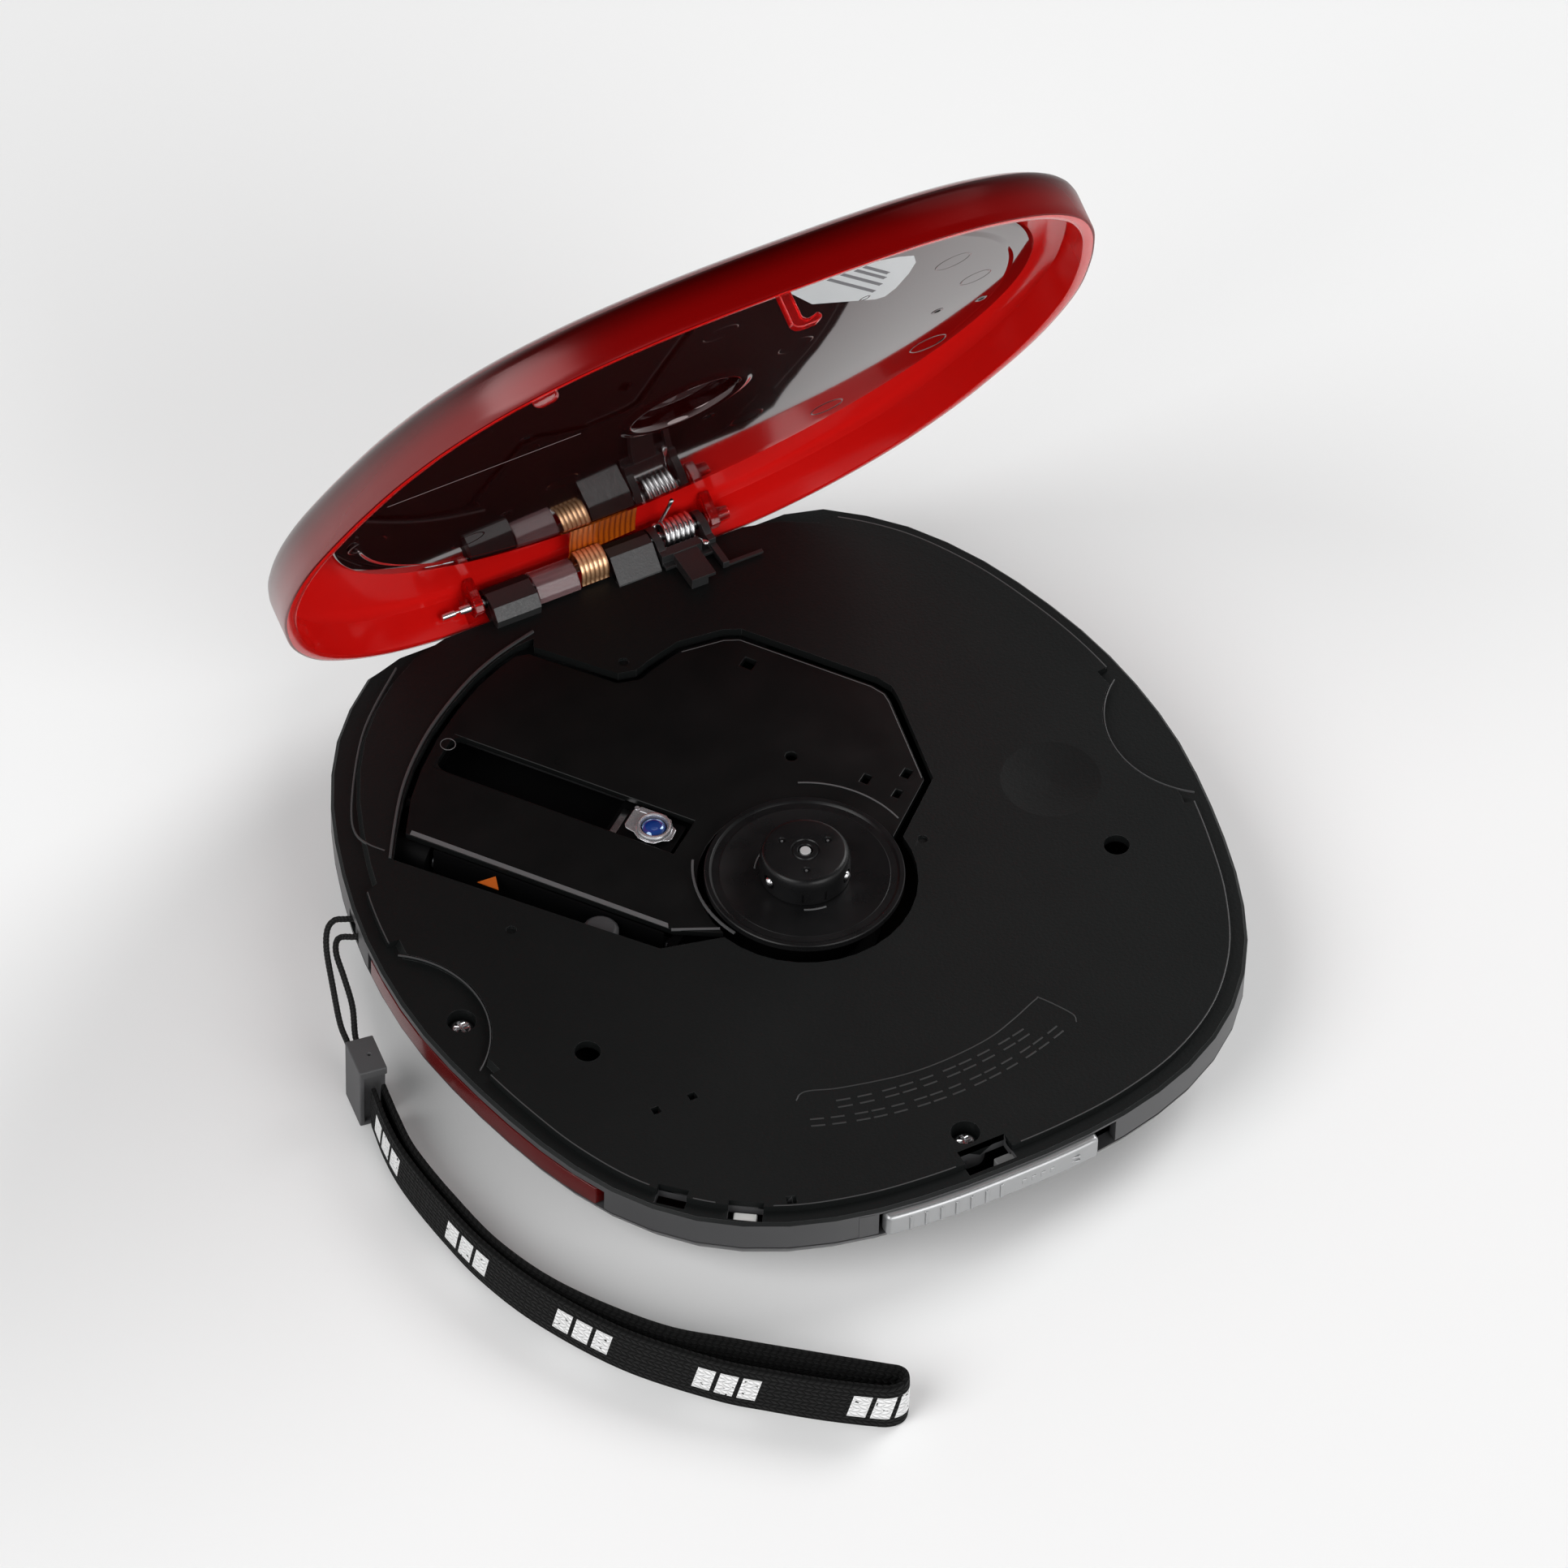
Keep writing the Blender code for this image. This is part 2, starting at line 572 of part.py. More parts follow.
def chassis():
    """Frame under the plate: carries the spindle motor, both guide rods and the feed screw."""
    z0, z1 = RIM - 9.6, RIM - 8.6
    end = [(69.0, 13), (69.0, -18.8)]
    tab = [(30, -20), (30, -26.5), (21.4, -26.5), (21.4, -20), (13.8, -20)]
    round_end = [(13 * math.cos(t), 13 * math.sin(t))
                 for t in (math.radians(d) for d in range(285, 89, -15))]
    corners = [mech(a, b, 0)[:2] for a, b in tab + round_end + end]
    frame = prism("mech_chassis", corners, z0, z1)
    inner = mech_box("inner_wall", 13.6, 15.2, -20, 12.9, z0 + 0.4, RIM - 2.5)
    outer = mech_box("outer_wall", 67.4, 68.9, -18.7, 12.9, z0 + 0.4, RIM - 2.5)
    combine(frame, [inner, outer], "UNION")
    combine(frame, [
        rod("bore", mech(12, -ROD_B, ROD_Z), mech(72, -ROD_B, ROD_Z), 1.35, 16),
        rod("bore", mech(12, ROD_B, ROD_Z), mech(72, ROD_B, ROD_Z), 1.35, 16),
        rod("bore", mech(12, SCREW_B, ROD_Z), mech(66, SCREW_B, ROD_Z), 1.6, 16),
    ])
    x, y, _ = mech(*DAMPER, 0)
    combine(frame, [rod("hole", (x, y, 0), (x, y, RIM), 2.3, 20)])
    finish(frame, plastic("chassis_grey", (0.1, 0.1, 0.11), 0.5), smooth=False)


def mechanism():
    black = plastic("mech_black", (0.012, 0.012, 0.013), 0.4)
    steel = plastic("bright_steel", STEEL, 0.28, 1.0)
    mech_plate()
    chassis()
    motor = turned("spindle_motor", [(9.5, RIM - 8.3), (11, RIM - 7.8), (11, RIM - 1.9),
                                     (10.4, RIM - 1.3)], sides=36)
    finish(motor, plastic("motor_can", (0.4, 0.4, 0.41), 0.35, 0.9))
    shaft = rod("spindle_shaft", (0, 0, RIM - 1.0), (0, 0, HUB_TOP - 0.3), 0.9, 16)
    finish(shaft, steel)
    platter = turned("platter", [(15.0, RIM + 0.9), (PLATTER_R, RIM + 1.3),
                                 (PLATTER_R, PLATTER_TOP), (15.4, PLATTER_TOP),
                                 (15.2, PLATTER_TOP - 0.3), (8.2, PLATTER_TOP - 0.3)], sides=48)
    combine(platter, [rod("hole", (0, 0, RIM - 3), (0, 0, RIM + 5), 3.5, 24)])
    finish(platter, black)
    top = PLATTER_TOP
    hub = turned("hub", [(3.1, RIM + 0.6), (3.1, top), (HUB_R, top), (HUB_R, top + 3.4),
                         (6.6, HUB_TOP - 0.5), (5.6, HUB_TOP), (2.2, HUB_TOP),
                         (1.8, HUB_TOP - 0.4)], sides=36)
    combine(hub, [rod("bore", (0, 0, RIM), (0, 0, RIM + 12), 1.2, 16)])
    for i in range(3):
        t = math.radians(309 - 120 * i)
        way = Vector((math.cos(t), math.sin(t), 0.0))
        seat = way * 7.0 + Vector((0, 0, top + 2.2))
        combine(hub, [rod("socket", seat - way * 1.6, seat + way * 3, 1.25, 16)])
        finish(ball(f"clamp_ball_{i + 1}", seat, 0.9), steel)
    finish(hub, black)
    pickup(steel)
    x, y, _ = mech(*DAMPER, 0)
    grommet = turned("damper", [(3.0, 2.1), (3.0, 6.9), (1.9, 7.1), (1.9, 8.8), (3.0, 9.0),
                                (3.0, RIM - 1.2), (2.4, RIM - 0.6)], (x, y), 20)
    finish(grommet, plastic("damper_rubber", (0.14, 0.14, 0.14), 0.6))
    sheet = [(-24.4, RIM - 1.2), (-21.0, RIM - 4.4), (-21.0, RIM - 4.8), (-24.8, RIM - 1.4)]
    ends = [[mech(a, b, z) for b, z in sheet] for a in (41.0, 49.5)]
    finish(loft("mech_flex", ends), plastic("flex_copper", COPPER, 0.35), smooth=False)


def pickup(steel):
    """The laser carriage, its two guide rods, feed screw and motor."""
    black = plastic("sled_black", (0.02, 0.02, 0.02), 0.45)
    z0, z1 = RIM - 8.3, RIM - 3.0
    sled = mech_box("pickup_sled", 18.5, 35.0, -12, 12, z0, z1)
    arm = mech_box("arm", 18.7, 23.0, -16.5, -11, z0 + 1.5, z1 - 0.6)
    tower = mech_box("tower", 22.6, 32.5, -3.3, 3.3, z1 - 0.5, RIM - 1.0)
    combine(sled, [arm, tower], "UNION")
    combine(sled, [
        rod("bore", mech(10, -ROD_B, ROD_Z), mech(40, -ROD_B, ROD_Z), 1.35, 16),
        rod("bore", mech(10, ROD_B, ROD_Z), mech(40, ROD_B, ROD_Z), 1.35, 16),
    ])
    finish(sled, black, mech(LENS_A, 0, RIM - 5), False)
    x, y, _ = mech(LENS_A, 0, 0)
    holder = mech_box("lens_holder", 23.2, 31.8, -3.4, 3.4, RIM - 0.7, RIM + 0.1)
    ring = rod("ring", (x, y, RIM - 0.2), (x, y, RIM + 0.7), 3.0, 28)
    combine(holder, [ring], "UNION")
    combine(holder, [rod("bore", (x, y, RIM - 2), (x, y, RIM + 2), 2.2, 24)])
    finish(holder, plastic("holder_alloy", (0.6, 0.6, 0.62), 0.3, 0.7), (x, y, RIM))
    lens = turned("objective_lens", [(1.5, RIM - 0.6), (1.9, RIM - 0.4), (1.9, RIM + 0.2),
                                     (1.5, RIM + 0.6), (0.8, RIM + 0.8)], (x, y), 24)
    finish(lens, plastic("lens_glass", (0.2, 0.35, 0.6), 0.05, 0.0, 0.6), (x, y, RIM))
    for name, b in (("guide_rod_left", -ROD_B), ("guide_rod_right", ROD_B)):
        finish(rod(name, mech(13.0, b, ROD_Z), mech(69.9, b, ROD_Z), 1.0, 16), steel)
    screw = rod("feed_screw", mech(13.4, SCREW_B, ROD_Z), mech(58.0, SCREW_B, ROD_Z), 1.2, 16)
    finish(screw, steel, mech(13.4, SCREW_B, ROD_Z))
    can = rod("feed_motor", mech(58.4, SCREW_B, ROD_Z), mech(67.0, SCREW_B, ROD_Z), 3.3, 24)
    finish(can, plastic("motor_can", (0.4, 0.4, 0.41), 0.35, 0.9))


# ---------------------------------------------------------------- hinge


def hinge():
    steel = plastic("bright_steel", STEEL, 0.28, 1.0)
    black = plastic("bracket_black", BLACK, 0.5)
    axis = (HINGE_Y, HINGE_Z)
    finish(rod("hinge_rod", (-13.2, *axis), (26.4, *axis), PIN_R, 16), steel, (0, *axis))
    finish(rod("hinge_pin", (-24.6, *axis), (-13.9, *axis), PIN_R, 16), steel, (0, *axis))
    guard = [(72.8, 1.6), (73.0, 2.7), (74.5, 4.4)] + KNUCKLE_BACK + [(75.0, 0.8), (74.6, 1.6)]
    sleeve = prism_x("hinge_sleeve", [(y, z + RIM) for y, z in guard], -10.5, -2.8)
    combine(sleeve, [rod("bore", (-12, *axis), (0, *axis), BORE_R, 20)])
    finish(sleeve, plastic("sleeve_clear", (0.6, 0.35, 0.35), 0.2, 0.0, 0.6), smooth=False)
    bracket = box("spring_bracket", 11.6, 21.6, 71.4, 73.1, RIM + 1.5, RIM + 3.8)
    ear = [(71.4, 1.6), (71.4, 3.0), (74.4, 4.9)] + KNUCKLE_BACK + [(74.6, 1.6)]
    for x0, x1 in ((11.6, 12.9), (20.3, 21.6)):
        side = prism_x("ear", [(y, z + RIM) for y, z in ear], x0, x1)
        combine(bracket, [side], "UNION")
    combine(bracket, [
        box("leg", 13.6, 18.0, 64.6, 71.6, RIM + 1.52, RIM + 3.6),
        box("wing", 20.4, 21.5, 66.4, 71.6, RIM + 1.54, RIM + 2.9),
        box("rail", 21.2, 28.0, 66.5, 67.2, RIM + 1.56, RIM + 2.0),
        box("sill", 11.7, 21.5, 70.2, 71.8, RIM + 1.58, RIM + 2.2),
    ], "UNION")
    combine(bracket, [
        box("leg_way", 19.0, 20.25, 71.0, 74.5, RIM + 1.85, RIM + 4),
        rod("bore", (10, *axis), (23, *axis), BORE_R, 20),
        box("notch", 16.6, 19, 64.0, 66.2, RIM + 1, RIM + 3.0),
    ])
    finish(bracket, black, smooth=False)
    reach, wire, per_turn = 2.15, 0.36, 12
    start = math.pi / 2 - LID_OPEN
    sweep = 5 * 2 * math.pi + start - math.radians(-120)
    steps = int(sweep / (2 * math.pi) * per_turn)
    coil = []
    for i in range(steps + 1):
        t = start - sweep * i / steps
        x = 13.7 + 5.85 * i / steps
        coil.append((x, HINGE_Y + reach * math.cos(t), HINGE_Z + reach * math.sin(t)))
    first, last = coil[0], coil[-1]
    up = (-math.sin(start), math.cos(start))
    leg = [(13.5, first[1] + up[0] * d, first[2] + up[1] * d) for d in (9.0, 4.5)]
    tail = [(19.55, last[1] - 0.866 * d, last[2] + 0.5 * d) for d in (2.2, 5.4)]
    spring = tube("torsion_spring", leg + coil + tail, wire, 1)
    finish(spring, steel)
    flexes()


def flexes():
    """The copper ribbon, in a part that stays with the case and a part on the lid."""
    copper = plastic("flex_copper", COPPER, 0.35)

    def band(name, line, x0, x1):
        thick = 0.15
        out, back = [], []
        for i, (y, z) in enumerate(line):
            y0, z0 = line[max(i - 1, 0)]
            y1, z1 = line[min(i + 1, len(line) - 1)]
            run = math.hypot(y1 - y0, z1 - z0)
            ny, nz = -(z1 - z0) / run * thick, (y1 - y0) / run * thick
            out.append((y + ny, z + nz))
            back.append((y - ny, z - nz))
        return prism_x(name, out + back[::-1], x0, x1)

    wrap = [(HINGE_Y + 2.9 * math.cos(t), HINGE_Z + 2.9 * math.sin(t))
            for t in (math.radians(d) for d in range(200, 69, -13))]
    lower = band("flex_lower", [(73.35, RIM + 1.7)] + wrap, -2.4, 2.6)
    finish(lower, copper)
    wrap = [(HINGE_Y + 2.2 * math.cos(t), HINGE_Z + 2.2 * math.sin(t))
            for t in (math.radians(d) for d in range(20, 96, 15))]
    line = wrap + [(74.4, RIM + 5.9), (71.0, RIM + 6.3), (66.0, RIM + 6.5), (62.4, RIM + 6.6)]
    upper = band("lid_flex", line, -2.4, 2.6)
    wide = band("wide", [(71.6, RIM + 6.25), (66.0, RIM + 6.5), (62.4, RIM + 6.6)], 2.0, 12.5)
    combine(upper, [wide], "UNION")
    finish(upper, copper, lid=True)


# ---------------------------------------------------------------- lid


BUTTONS = [
    ("stop_button", -24.0, -41.0, 3.4), ("skip_back_button", -12.5, -44.0, 3.4),
    ("play_button", 0.0, -45.0, 4.4), ("skip_forward_button", 12.5, -44.0, 3.4),
    ("volume_down_button", 45.0, 33.0, 3.2), ("volume_up_button", 49.0, 23.0, 3.2),
]


def lid_shell(material):
    """Clear red cover with its hook, switch tab and two hinge lugs."""
    shell = loft("lid_shell", egg_rings([
        (LID_EDGE, -0.4), (LID_EDGE + 0.4, 0.0), (RIM + 6.4, 0.0), (RIM + 8.0, -0.8),
        (RIM + 9.1, -2.8), (RIM + 9.9, -7.0), (RIM + 10.9, -16.0), (RIM + 11.7, 0.0, 0.55),
        (RIM + 12.1, 0.0, 0.28), (RIM + 12.2, 0.0, 0.06),
    ]))
    hollow = loft("hollow", egg_rings([
        (LID_EDGE - 2, -2.2), (RIM + 6.0, -2.4), (RIM + 7.0, -3.3), (RIM + 7.6, -5.2),
        (RIM + 8.2, -8.6), (RIM + 9.2, -17.0), (RIM + 10.0, 0.0, 0.55), (RIM + 10.5, 0.0, 0.28),
        (RIM + 10.6, 0.0, 0.06),
    ]))
    combine(shell, [hollow])
    relief = rod("relief", (-22.6, HINGE_Y, HINGE_Z), (22, HINGE_Y, HINGE_Z), HINGE_HOLLOW, 32)
    combine(shell, [relief])
    lug = [(73.9, 3.0), (73.9, 8.6), (78.8, 8.6), (78.8, 3.0), (77.6, 1.1), (75.0, 1.1)]
    for x0, x1 in ((-21.8, -19.7), (22.2, 26.0)):
        arm = prism_x("arm", [(y, z + RIM) for y, z in lug], x0, x1)
        combine(shell, [arm], "UNION")
    combine(shell, [rod("bore", (-23, HINGE_Y, HINGE_Z), (27, HINGE_Y, HINGE_Z), BORE_R, 20)])
    hook = loft("hook", [
        [(x, y, z + RIM) for x, z in ((-5.2, 7.9), (-5.2, -5.4), (-0.7, -5.4), (-0.7, -4.1),
                                      (-3.0, -4.1), (-3.0, 7.9))]
        for y in (-66.5, -64.4)
    ])
    tab = turned_box("tab", -41.35, -56.9, 4.2, 1.5, -34, RIM - 0.5, RIM + 7.6)
    combine(shell, [hook, tab], "UNION")
    combine(shell, [box("window_gap", -18.3, 18.3, -34.3, -19.7, RIM + 5, RIM + 16)])
    for name, x, y, r in BUTTONS:
        combine(shell, [rod("hole", (x, y, RIM + 5), (x, y, RIM + 16), r + 0.35, 24)])
    finish(shell, material, lid=True)


def lid_pieces():
    red = plastic("lid_red", RED, 0.12, 0.0, 0.6)
    black = plastic("lid_board", BOARD, 0.4)
    lid_shell(red)
    z0, z1 = PLATE_Z, PLATE_Z + PLATE_T
    plate = turned("lid_plate", [(PLATE_R - 0.6, z0), (PLATE_R, z0 + 0.5), (PLATE_R, z1)],
                   (0, 0.5), 72)
    combine(plate, [
        turned("collar", [(10.8, z0 - 1.0), (11.2, z0 + 0.5)], sides=40),
        turned("cup", [(10.6, z0 + 0.6), (10.2, RIM + 9.3)], sides=40),
    ], "UNION")
    combine(plate, [turned("clear", [(9.4, z0 - 4), (9.2, RIM + 8.4)], sides=40)])
    finish(plate, plastic("plate_smoke", (0.03, 0.012, 0.012), 0.08), lid=True)
    board = prism("lid_board", [(-30, -47), (30, -47), (40, -20), (54, 15), (52, 30), (46, 39),
                                (36, 39), (30, 16), (18, -13), (-30, -13)],
                  RIM + 7.9, RIM + 8.4)
    finish(board, black, smooth=False, lid=True)
    lcd = box("lcd", -16.5, 16.5, -33, -21, RIM + 8.7, RIM + 9.7)
    finish(lcd, plastic("lcd_grey", (0.32, 0.36, 0.3), 0.25), smooth=False, lid=True)
    pane = box("lcd_window", -18.0, 18.0, -34.0, -20.0, RIM + 10.0, RIM + 11.75)
    finish(pane, plastic("window_clear", (0.5, 0.5, 0.5), 0.05, 0.0, 0.4), smooth=False, lid=True)
    for name, x, y, r in BUTTONS:
        foot = RIM + 8.9
        top = RIM + 12.0 if y < -40 else RIM + 11.6
        key = turned(name, [(1.6, foot), (1.6, foot + 0.5), (r, foot + 1.0), (r, top - 0.5),
                            (r - 0.6, top)], (x, y), 24)
        finish(key, plastic("key_silver", (0.5, 0.5, 0.51), 0.3, 0.7), lid=True)


# ---------------------------------------------------------------- strap


def strap():
    """Cord looped round the post in the side wall, rubber connector, and webbing loop on edge."""
    cord = tube("strap_cord", smooth_path(CORD_ROUTE, 2), CORD_R, 2)
    finish(cord, plastic("cord_black", (0.01, 0.01, 0.01), 0.8))
    block = turned_box("strap_block", -77.9, 3.3, 4.7, 7.4, -8, FLOOR, 12.0)
    edge = block.modifiers.new("edge", "BEVEL")
    edge.width = 0.6 * MM
    edge.segments = 2
    finish(block, plastic("block_rubber", (0.07, 0.07, 0.072), 0.6))
    path = smooth_path([(x, y, 0.0) for x, y in WEB_ROUTE], 3)
    out, back = [], []
    for i, p in enumerate(path):
        way = path[min(i + 1, len(path) - 1)] - path[max(i - 1, 0)]
        side = Vector((way.y, -way.x, 0.0)).normalized() * WEB_T / 2
        out.append((p.x + side.x, p.y + side.y))
        back.append((p.x - side.x, p.y - side.y))
    web = prism("strap_webbing", out + back[::-1], FLOOR, FLOOR + WEB_W)
    finish(web, plastic("web_black", (0.012, 0.012, 0.012), 0.85))


clear_scene()
case_pieces()
opening_latch()
power_and_board()
mechanism()
hinge()
lid_pieces()
strap()
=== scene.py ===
"""Looks for the portable CD player: camera, light, materials and detailed pieces on the CAD frame.

Lengths are written in millimetres and become metres as meshes are made. The frame is the CAD
model's: spindle axis at x = y = 0, flat underside at z = 0, hinge at +Y. Lid pieces are drawn
with the lid shut and then turned open about the hinge pin.
"""

import math

import bmesh
import bpy
from mathutils import Matrix, Vector


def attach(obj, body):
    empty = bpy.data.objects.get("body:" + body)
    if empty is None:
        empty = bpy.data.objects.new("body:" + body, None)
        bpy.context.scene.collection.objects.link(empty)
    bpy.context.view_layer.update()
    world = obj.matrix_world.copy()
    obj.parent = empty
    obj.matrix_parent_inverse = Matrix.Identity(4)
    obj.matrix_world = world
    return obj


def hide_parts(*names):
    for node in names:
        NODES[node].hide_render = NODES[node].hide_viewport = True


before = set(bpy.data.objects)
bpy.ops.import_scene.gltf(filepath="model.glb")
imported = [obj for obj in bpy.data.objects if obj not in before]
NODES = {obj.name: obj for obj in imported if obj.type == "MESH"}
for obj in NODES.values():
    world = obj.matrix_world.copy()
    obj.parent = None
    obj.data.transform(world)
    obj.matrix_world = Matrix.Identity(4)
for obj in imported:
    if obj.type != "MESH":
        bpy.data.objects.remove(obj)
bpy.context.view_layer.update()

MM = 0.001
RIM = 17.0  # top of the case's side wall
SPLIT = 11.4  # where the two case halves meet
PLATEAU = RIM + 1.2  # top of the deck
FLOOR = -0.8  # underside of the feet
HINGE_Y = 76.3
HINGE_Z = RIM + 3.25
HINGE = (HINGE_Y, HINGE_Z)
LID_OPEN = math.radians(62.7)
TO_OPEN = (
    Matrix.Translation((0, HINGE_Y * MM, HINGE_Z * MM))
    @ Matrix.Rotation(-LID_OPEN, 4, "X")
    @ Matrix.Translation((0, -HINGE_Y * MM, -HINGE_Z * MM))
)
MIDDLE_Y = 6.0  # the outline's own middle, on x = 0
ALONG = Vector((-0.6, 0.8, 0.0))  # the way the pickup travels
ACROSS = Vector((0.8, 0.6, 0.0))


# ---- camera, floor and light

CAMERA_PLACE = (-0.58549, -1.02803, 1.34290)
CAMERA_TURN = (-29.48, 47.75, -1.72)  # azimuth, elevation and roll
CAMERA_LENS = 251.6
ROOM_WALLS, ROOM_CEILING = 1.0, 0.08
PANELS = (  # name, place in metres, width, power
    ("key_panel", (2.8, 0.7, 2.5), 2.0, 61.0),
    ("fill_panel", (-2.6, -0.6, 2.4), 2.6, 73.0),
    ("front_panel", (0.5, -2.9, 1.6), 2.4, 46.0),
)


def linked(name, data):
    ob = bpy.data.objects.new(name, data)
    bpy.context.scene.collection.objects.link(ob)
    return ob


def camera():
    """Long lens from the front left, above."""
    az, el, roll = map(math.radians, CAMERA_TURN)
    right = Vector((math.cos(az), math.sin(az), 0.0))
    back = Vector((math.sin(az) * math.cos(el), -math.cos(az) * math.cos(el), math.sin(el)))
    up = back.cross(right)
    x = right * math.cos(roll) - up * math.sin(roll)
    y = right * math.sin(roll) + up * math.cos(roll)
    lens = bpy.data.cameras.new("camera")
    lens.sensor_width = 36.0
    lens.lens = CAMERA_LENS
    lens.clip_start = 0.05
    ob = linked("camera", lens)
    turn = Matrix((x, y, back)).transposed().to_4x4()
    ob.matrix_world = Matrix.Translation(CAMERA_PLACE) @ turn
    bpy.context.scene.camera = ob


def studio():
    """Pale floor, a room with bright walls and a dim ceiling, and three soft panels."""
    scene = bpy.context.scene
    scene.view_settings.view_transform = "Standard"
    world = bpy.data.worlds.new("room")
    world.use_nodes = True
    tree = world.node_tree
    sky = tree.nodes["Background"]
    sky.inputs["Color"].default_value = (1.0, 1.0, 1.0, 1.0)
    way = tree.nodes.new("ShaderNodeTexCoord")
    rise = apart(tree, way.outputs["Generated"])["Z"]
    light = ranged(tree, rise, (0.15, 0.80), (ROOM_WALLS, ROOM_CEILING), "SMOOTHSTEP")
    tree.links.new(light, sky.inputs["Strength"])
    scene.world = world
    bm = bmesh.new()
    bmesh.ops.create_grid(bm, x_segments=2, y_segments=2, size=3.0)
    mesh = bpy.data.meshes.new("floor")
    bm.to_mesh(mesh)
    bm.free()
    floor = linked("floor", mesh)
    floor.location = (0, 0, FLOOR * MM)
    mesh.materials.append(surface("floor_paper", (0.87, 0.87, 0.87), 0.9, specular=0.1))
    for name, place, size, power in PANELS:
        lamp = bpy.data.lights.new(name, "AREA")
        lamp.shape = "DISK"
        lamp.size = size
        lamp.energy = power
        aim = Vector((0.0, 0.0, 0.02)) - Vector(place)
        linked(name, lamp).matrix_world = (
            Matrix.Translation(place) @ aim.to_track_quat("-Z", "Y").to_matrix().to_4x4())


# ---- shader nodes


def preset(node, values):
    for name, value in values.items():
        node.inputs[name].default_value = value


def rgba(colour, factor=1.0):
    return (*[c * factor for c in colour], 1.0)


def principled(made):
    return made.node_tree.nodes["Principled BSDF"]


def apart(tree, vector):
    """The X, Y and Z outputs of a vector socket."""
    node = tree.nodes.new("ShaderNodeSeparateXYZ")
    tree.links.new(vector, node.inputs["Vector"])
    return node.outputs


def noise(tree, vector, scale, detail):
    node = tree.nodes.new("ShaderNodeTexNoise")
    preset(node, {"Scale": scale, "Detail": detail})
    tree.links.new(vector, node.inputs["Vector"])
    return node.outputs["Fac"]


def ranged(tree, value, ends, values, way="LINEAR"):
    """The value carried from between two ends to between two other values."""
    node = tree.nodes.new("ShaderNodeMapRange")
    node.interpolation_type = way
    preset(node, {"From Min": ends[0], "From Max": ends[1],
                  "To Min": values[0], "To Max": values[1]})
    tree.links.new(value, node.inputs["Value"])
    return node.outputs["Result"]


def mixed(tree, factor, a, b):
    """A colour between a and b, each of them a socket or a plain colour."""
    node = tree.nodes.new("ShaderNodeMix")
    node.data_type = "RGBA"
    tree.links.new(factor, node.inputs["Factor"])
    for name, value in (("A", a), ("B", b)):
        if isinstance(value, tuple):
            node.inputs[name].default_value = value
        else:
            tree.links.new(value, node.inputs[name])
    return node.outputs["Result"]


def maths(tree, operation, *values):
    """The output of a Math node on sockets or numbers."""
    node = tree.nodes.new("ShaderNodeMath")
    node.operation = operation
    for socket, value in zip(node.inputs, values):
        if isinstance(value, (int, float)):
            socket.default_value = value
        else:
            tree.links.new(value, socket)
    return node.outputs[0]


def bumped(made, relief, height):
    """Relief on a material, height in mm for a whole unit of the socket."""
    tree = made.node_tree
    bump = tree.nodes.new("ShaderNodeBump")
    preset(bump, {"Strength": 1.0, "Distance": height * MM})
    tree.links.new(relief, bump.inputs["Height"])
    tree.links.new(bump.outputs["Normal"], principled(made).inputs["Normal"])


def surface(name, colour, roughness=0.5, metallic=0.0, specular=0.5, coat=0.0, clear=0.0,
            ior=1.5, grain=0.0, mottle=0.0):
    """A Principled material with fine grain in its bump and slow drifts of tone and gloss.

    grain is the bump's height, or (height, pitch), in mm; mottle is how far the tone and
    gloss drift, or that and over how many mm.
    """
    grain, grain_pitch = grain if isinstance(grain, tuple) else (grain, 0.25)
    mottle, mottle_pitch = mottle if isinstance(mottle, tuple) else (mottle, 6.0)
    made = bpy.data.materials.new(name)
    made.use_nodes = True
    tree = made.node_tree
    shader = principled(made)
    preset(shader, {
        "Base Color": rgba(colour), "Roughness": roughness, "Metallic": metallic,
        "Specular IOR Level": specular, "Coat Weight": coat, "Coat Roughness": 0.05,
        "Transmission Weight": clear, "IOR": ior,
    })
    place = tree.nodes.new("ShaderNodeTexCoord").outputs["Object"]
    if grain:
        bumped(made, noise(tree, place, 1000.0 / grain_pitch, 3.0), grain)
    if mottle:
        slow = noise(tree, place, 1000.0 / mottle_pitch, 4.0)
        gloss = ranged(tree, slow, (0.0, 1.0), (max(roughness - mottle * 0.3, 0.01),
                                                roughness + mottle * 0.3))
        tree.links.new(gloss, shader.inputs["Roughness"])
        tone = mixed(tree, slow, rgba(colour, 1 - mottle * 0.5), rgba(colour, 1 + mottle * 0.5))
        tree.links.new(tone, shader.inputs["Base Color"])
    return made


# ---- points


def angles(count):
    """Even steps round a full turn."""
    return [2 * math.pi * i / count for i in range(count)]


def polar(radius, turn, centre=(0.0, 0.0)):
    return centre[0] + radius * math.cos(turn), centre[1] + radius * math.sin(turn)


def ring(radius, sides, centre=(0.0, 0.0)):
    return [polar(radius, t, centre) for t in angles(sides)]


def arc_points(radius, start, end, steps, centre=(0.0, 0.0)):
    return [polar(radius, math.radians(start + (end - start) * i / steps), centre)
            for i in range(steps + 1)]


def on_hinge(x0, x1):
    """Two points on the hinge's axis."""
    return (x0, HINGE_Y, HINGE_Z), (x1, HINGE_Y, HINGE_Z)


def raised(base, *points):
    """(radius, z) points whose heights are written from a base."""
    return [(r, base + z) for r, z in points]


def across_x(line, *places):
    """The (y, z) line, its heights above the rim, repeated at each x."""
    return [[(x, y, z + RIM) for y, z in line] for x in places]


def mech(a, b):
    """(x, y) of the mechanism's own distances: a along the pickup's travel, b across it."""
    p = ALONG * a + ACROSS * b
    return p.x, p.y


def mech_points(*points):
    return [mech(a, b) for a, b in points]


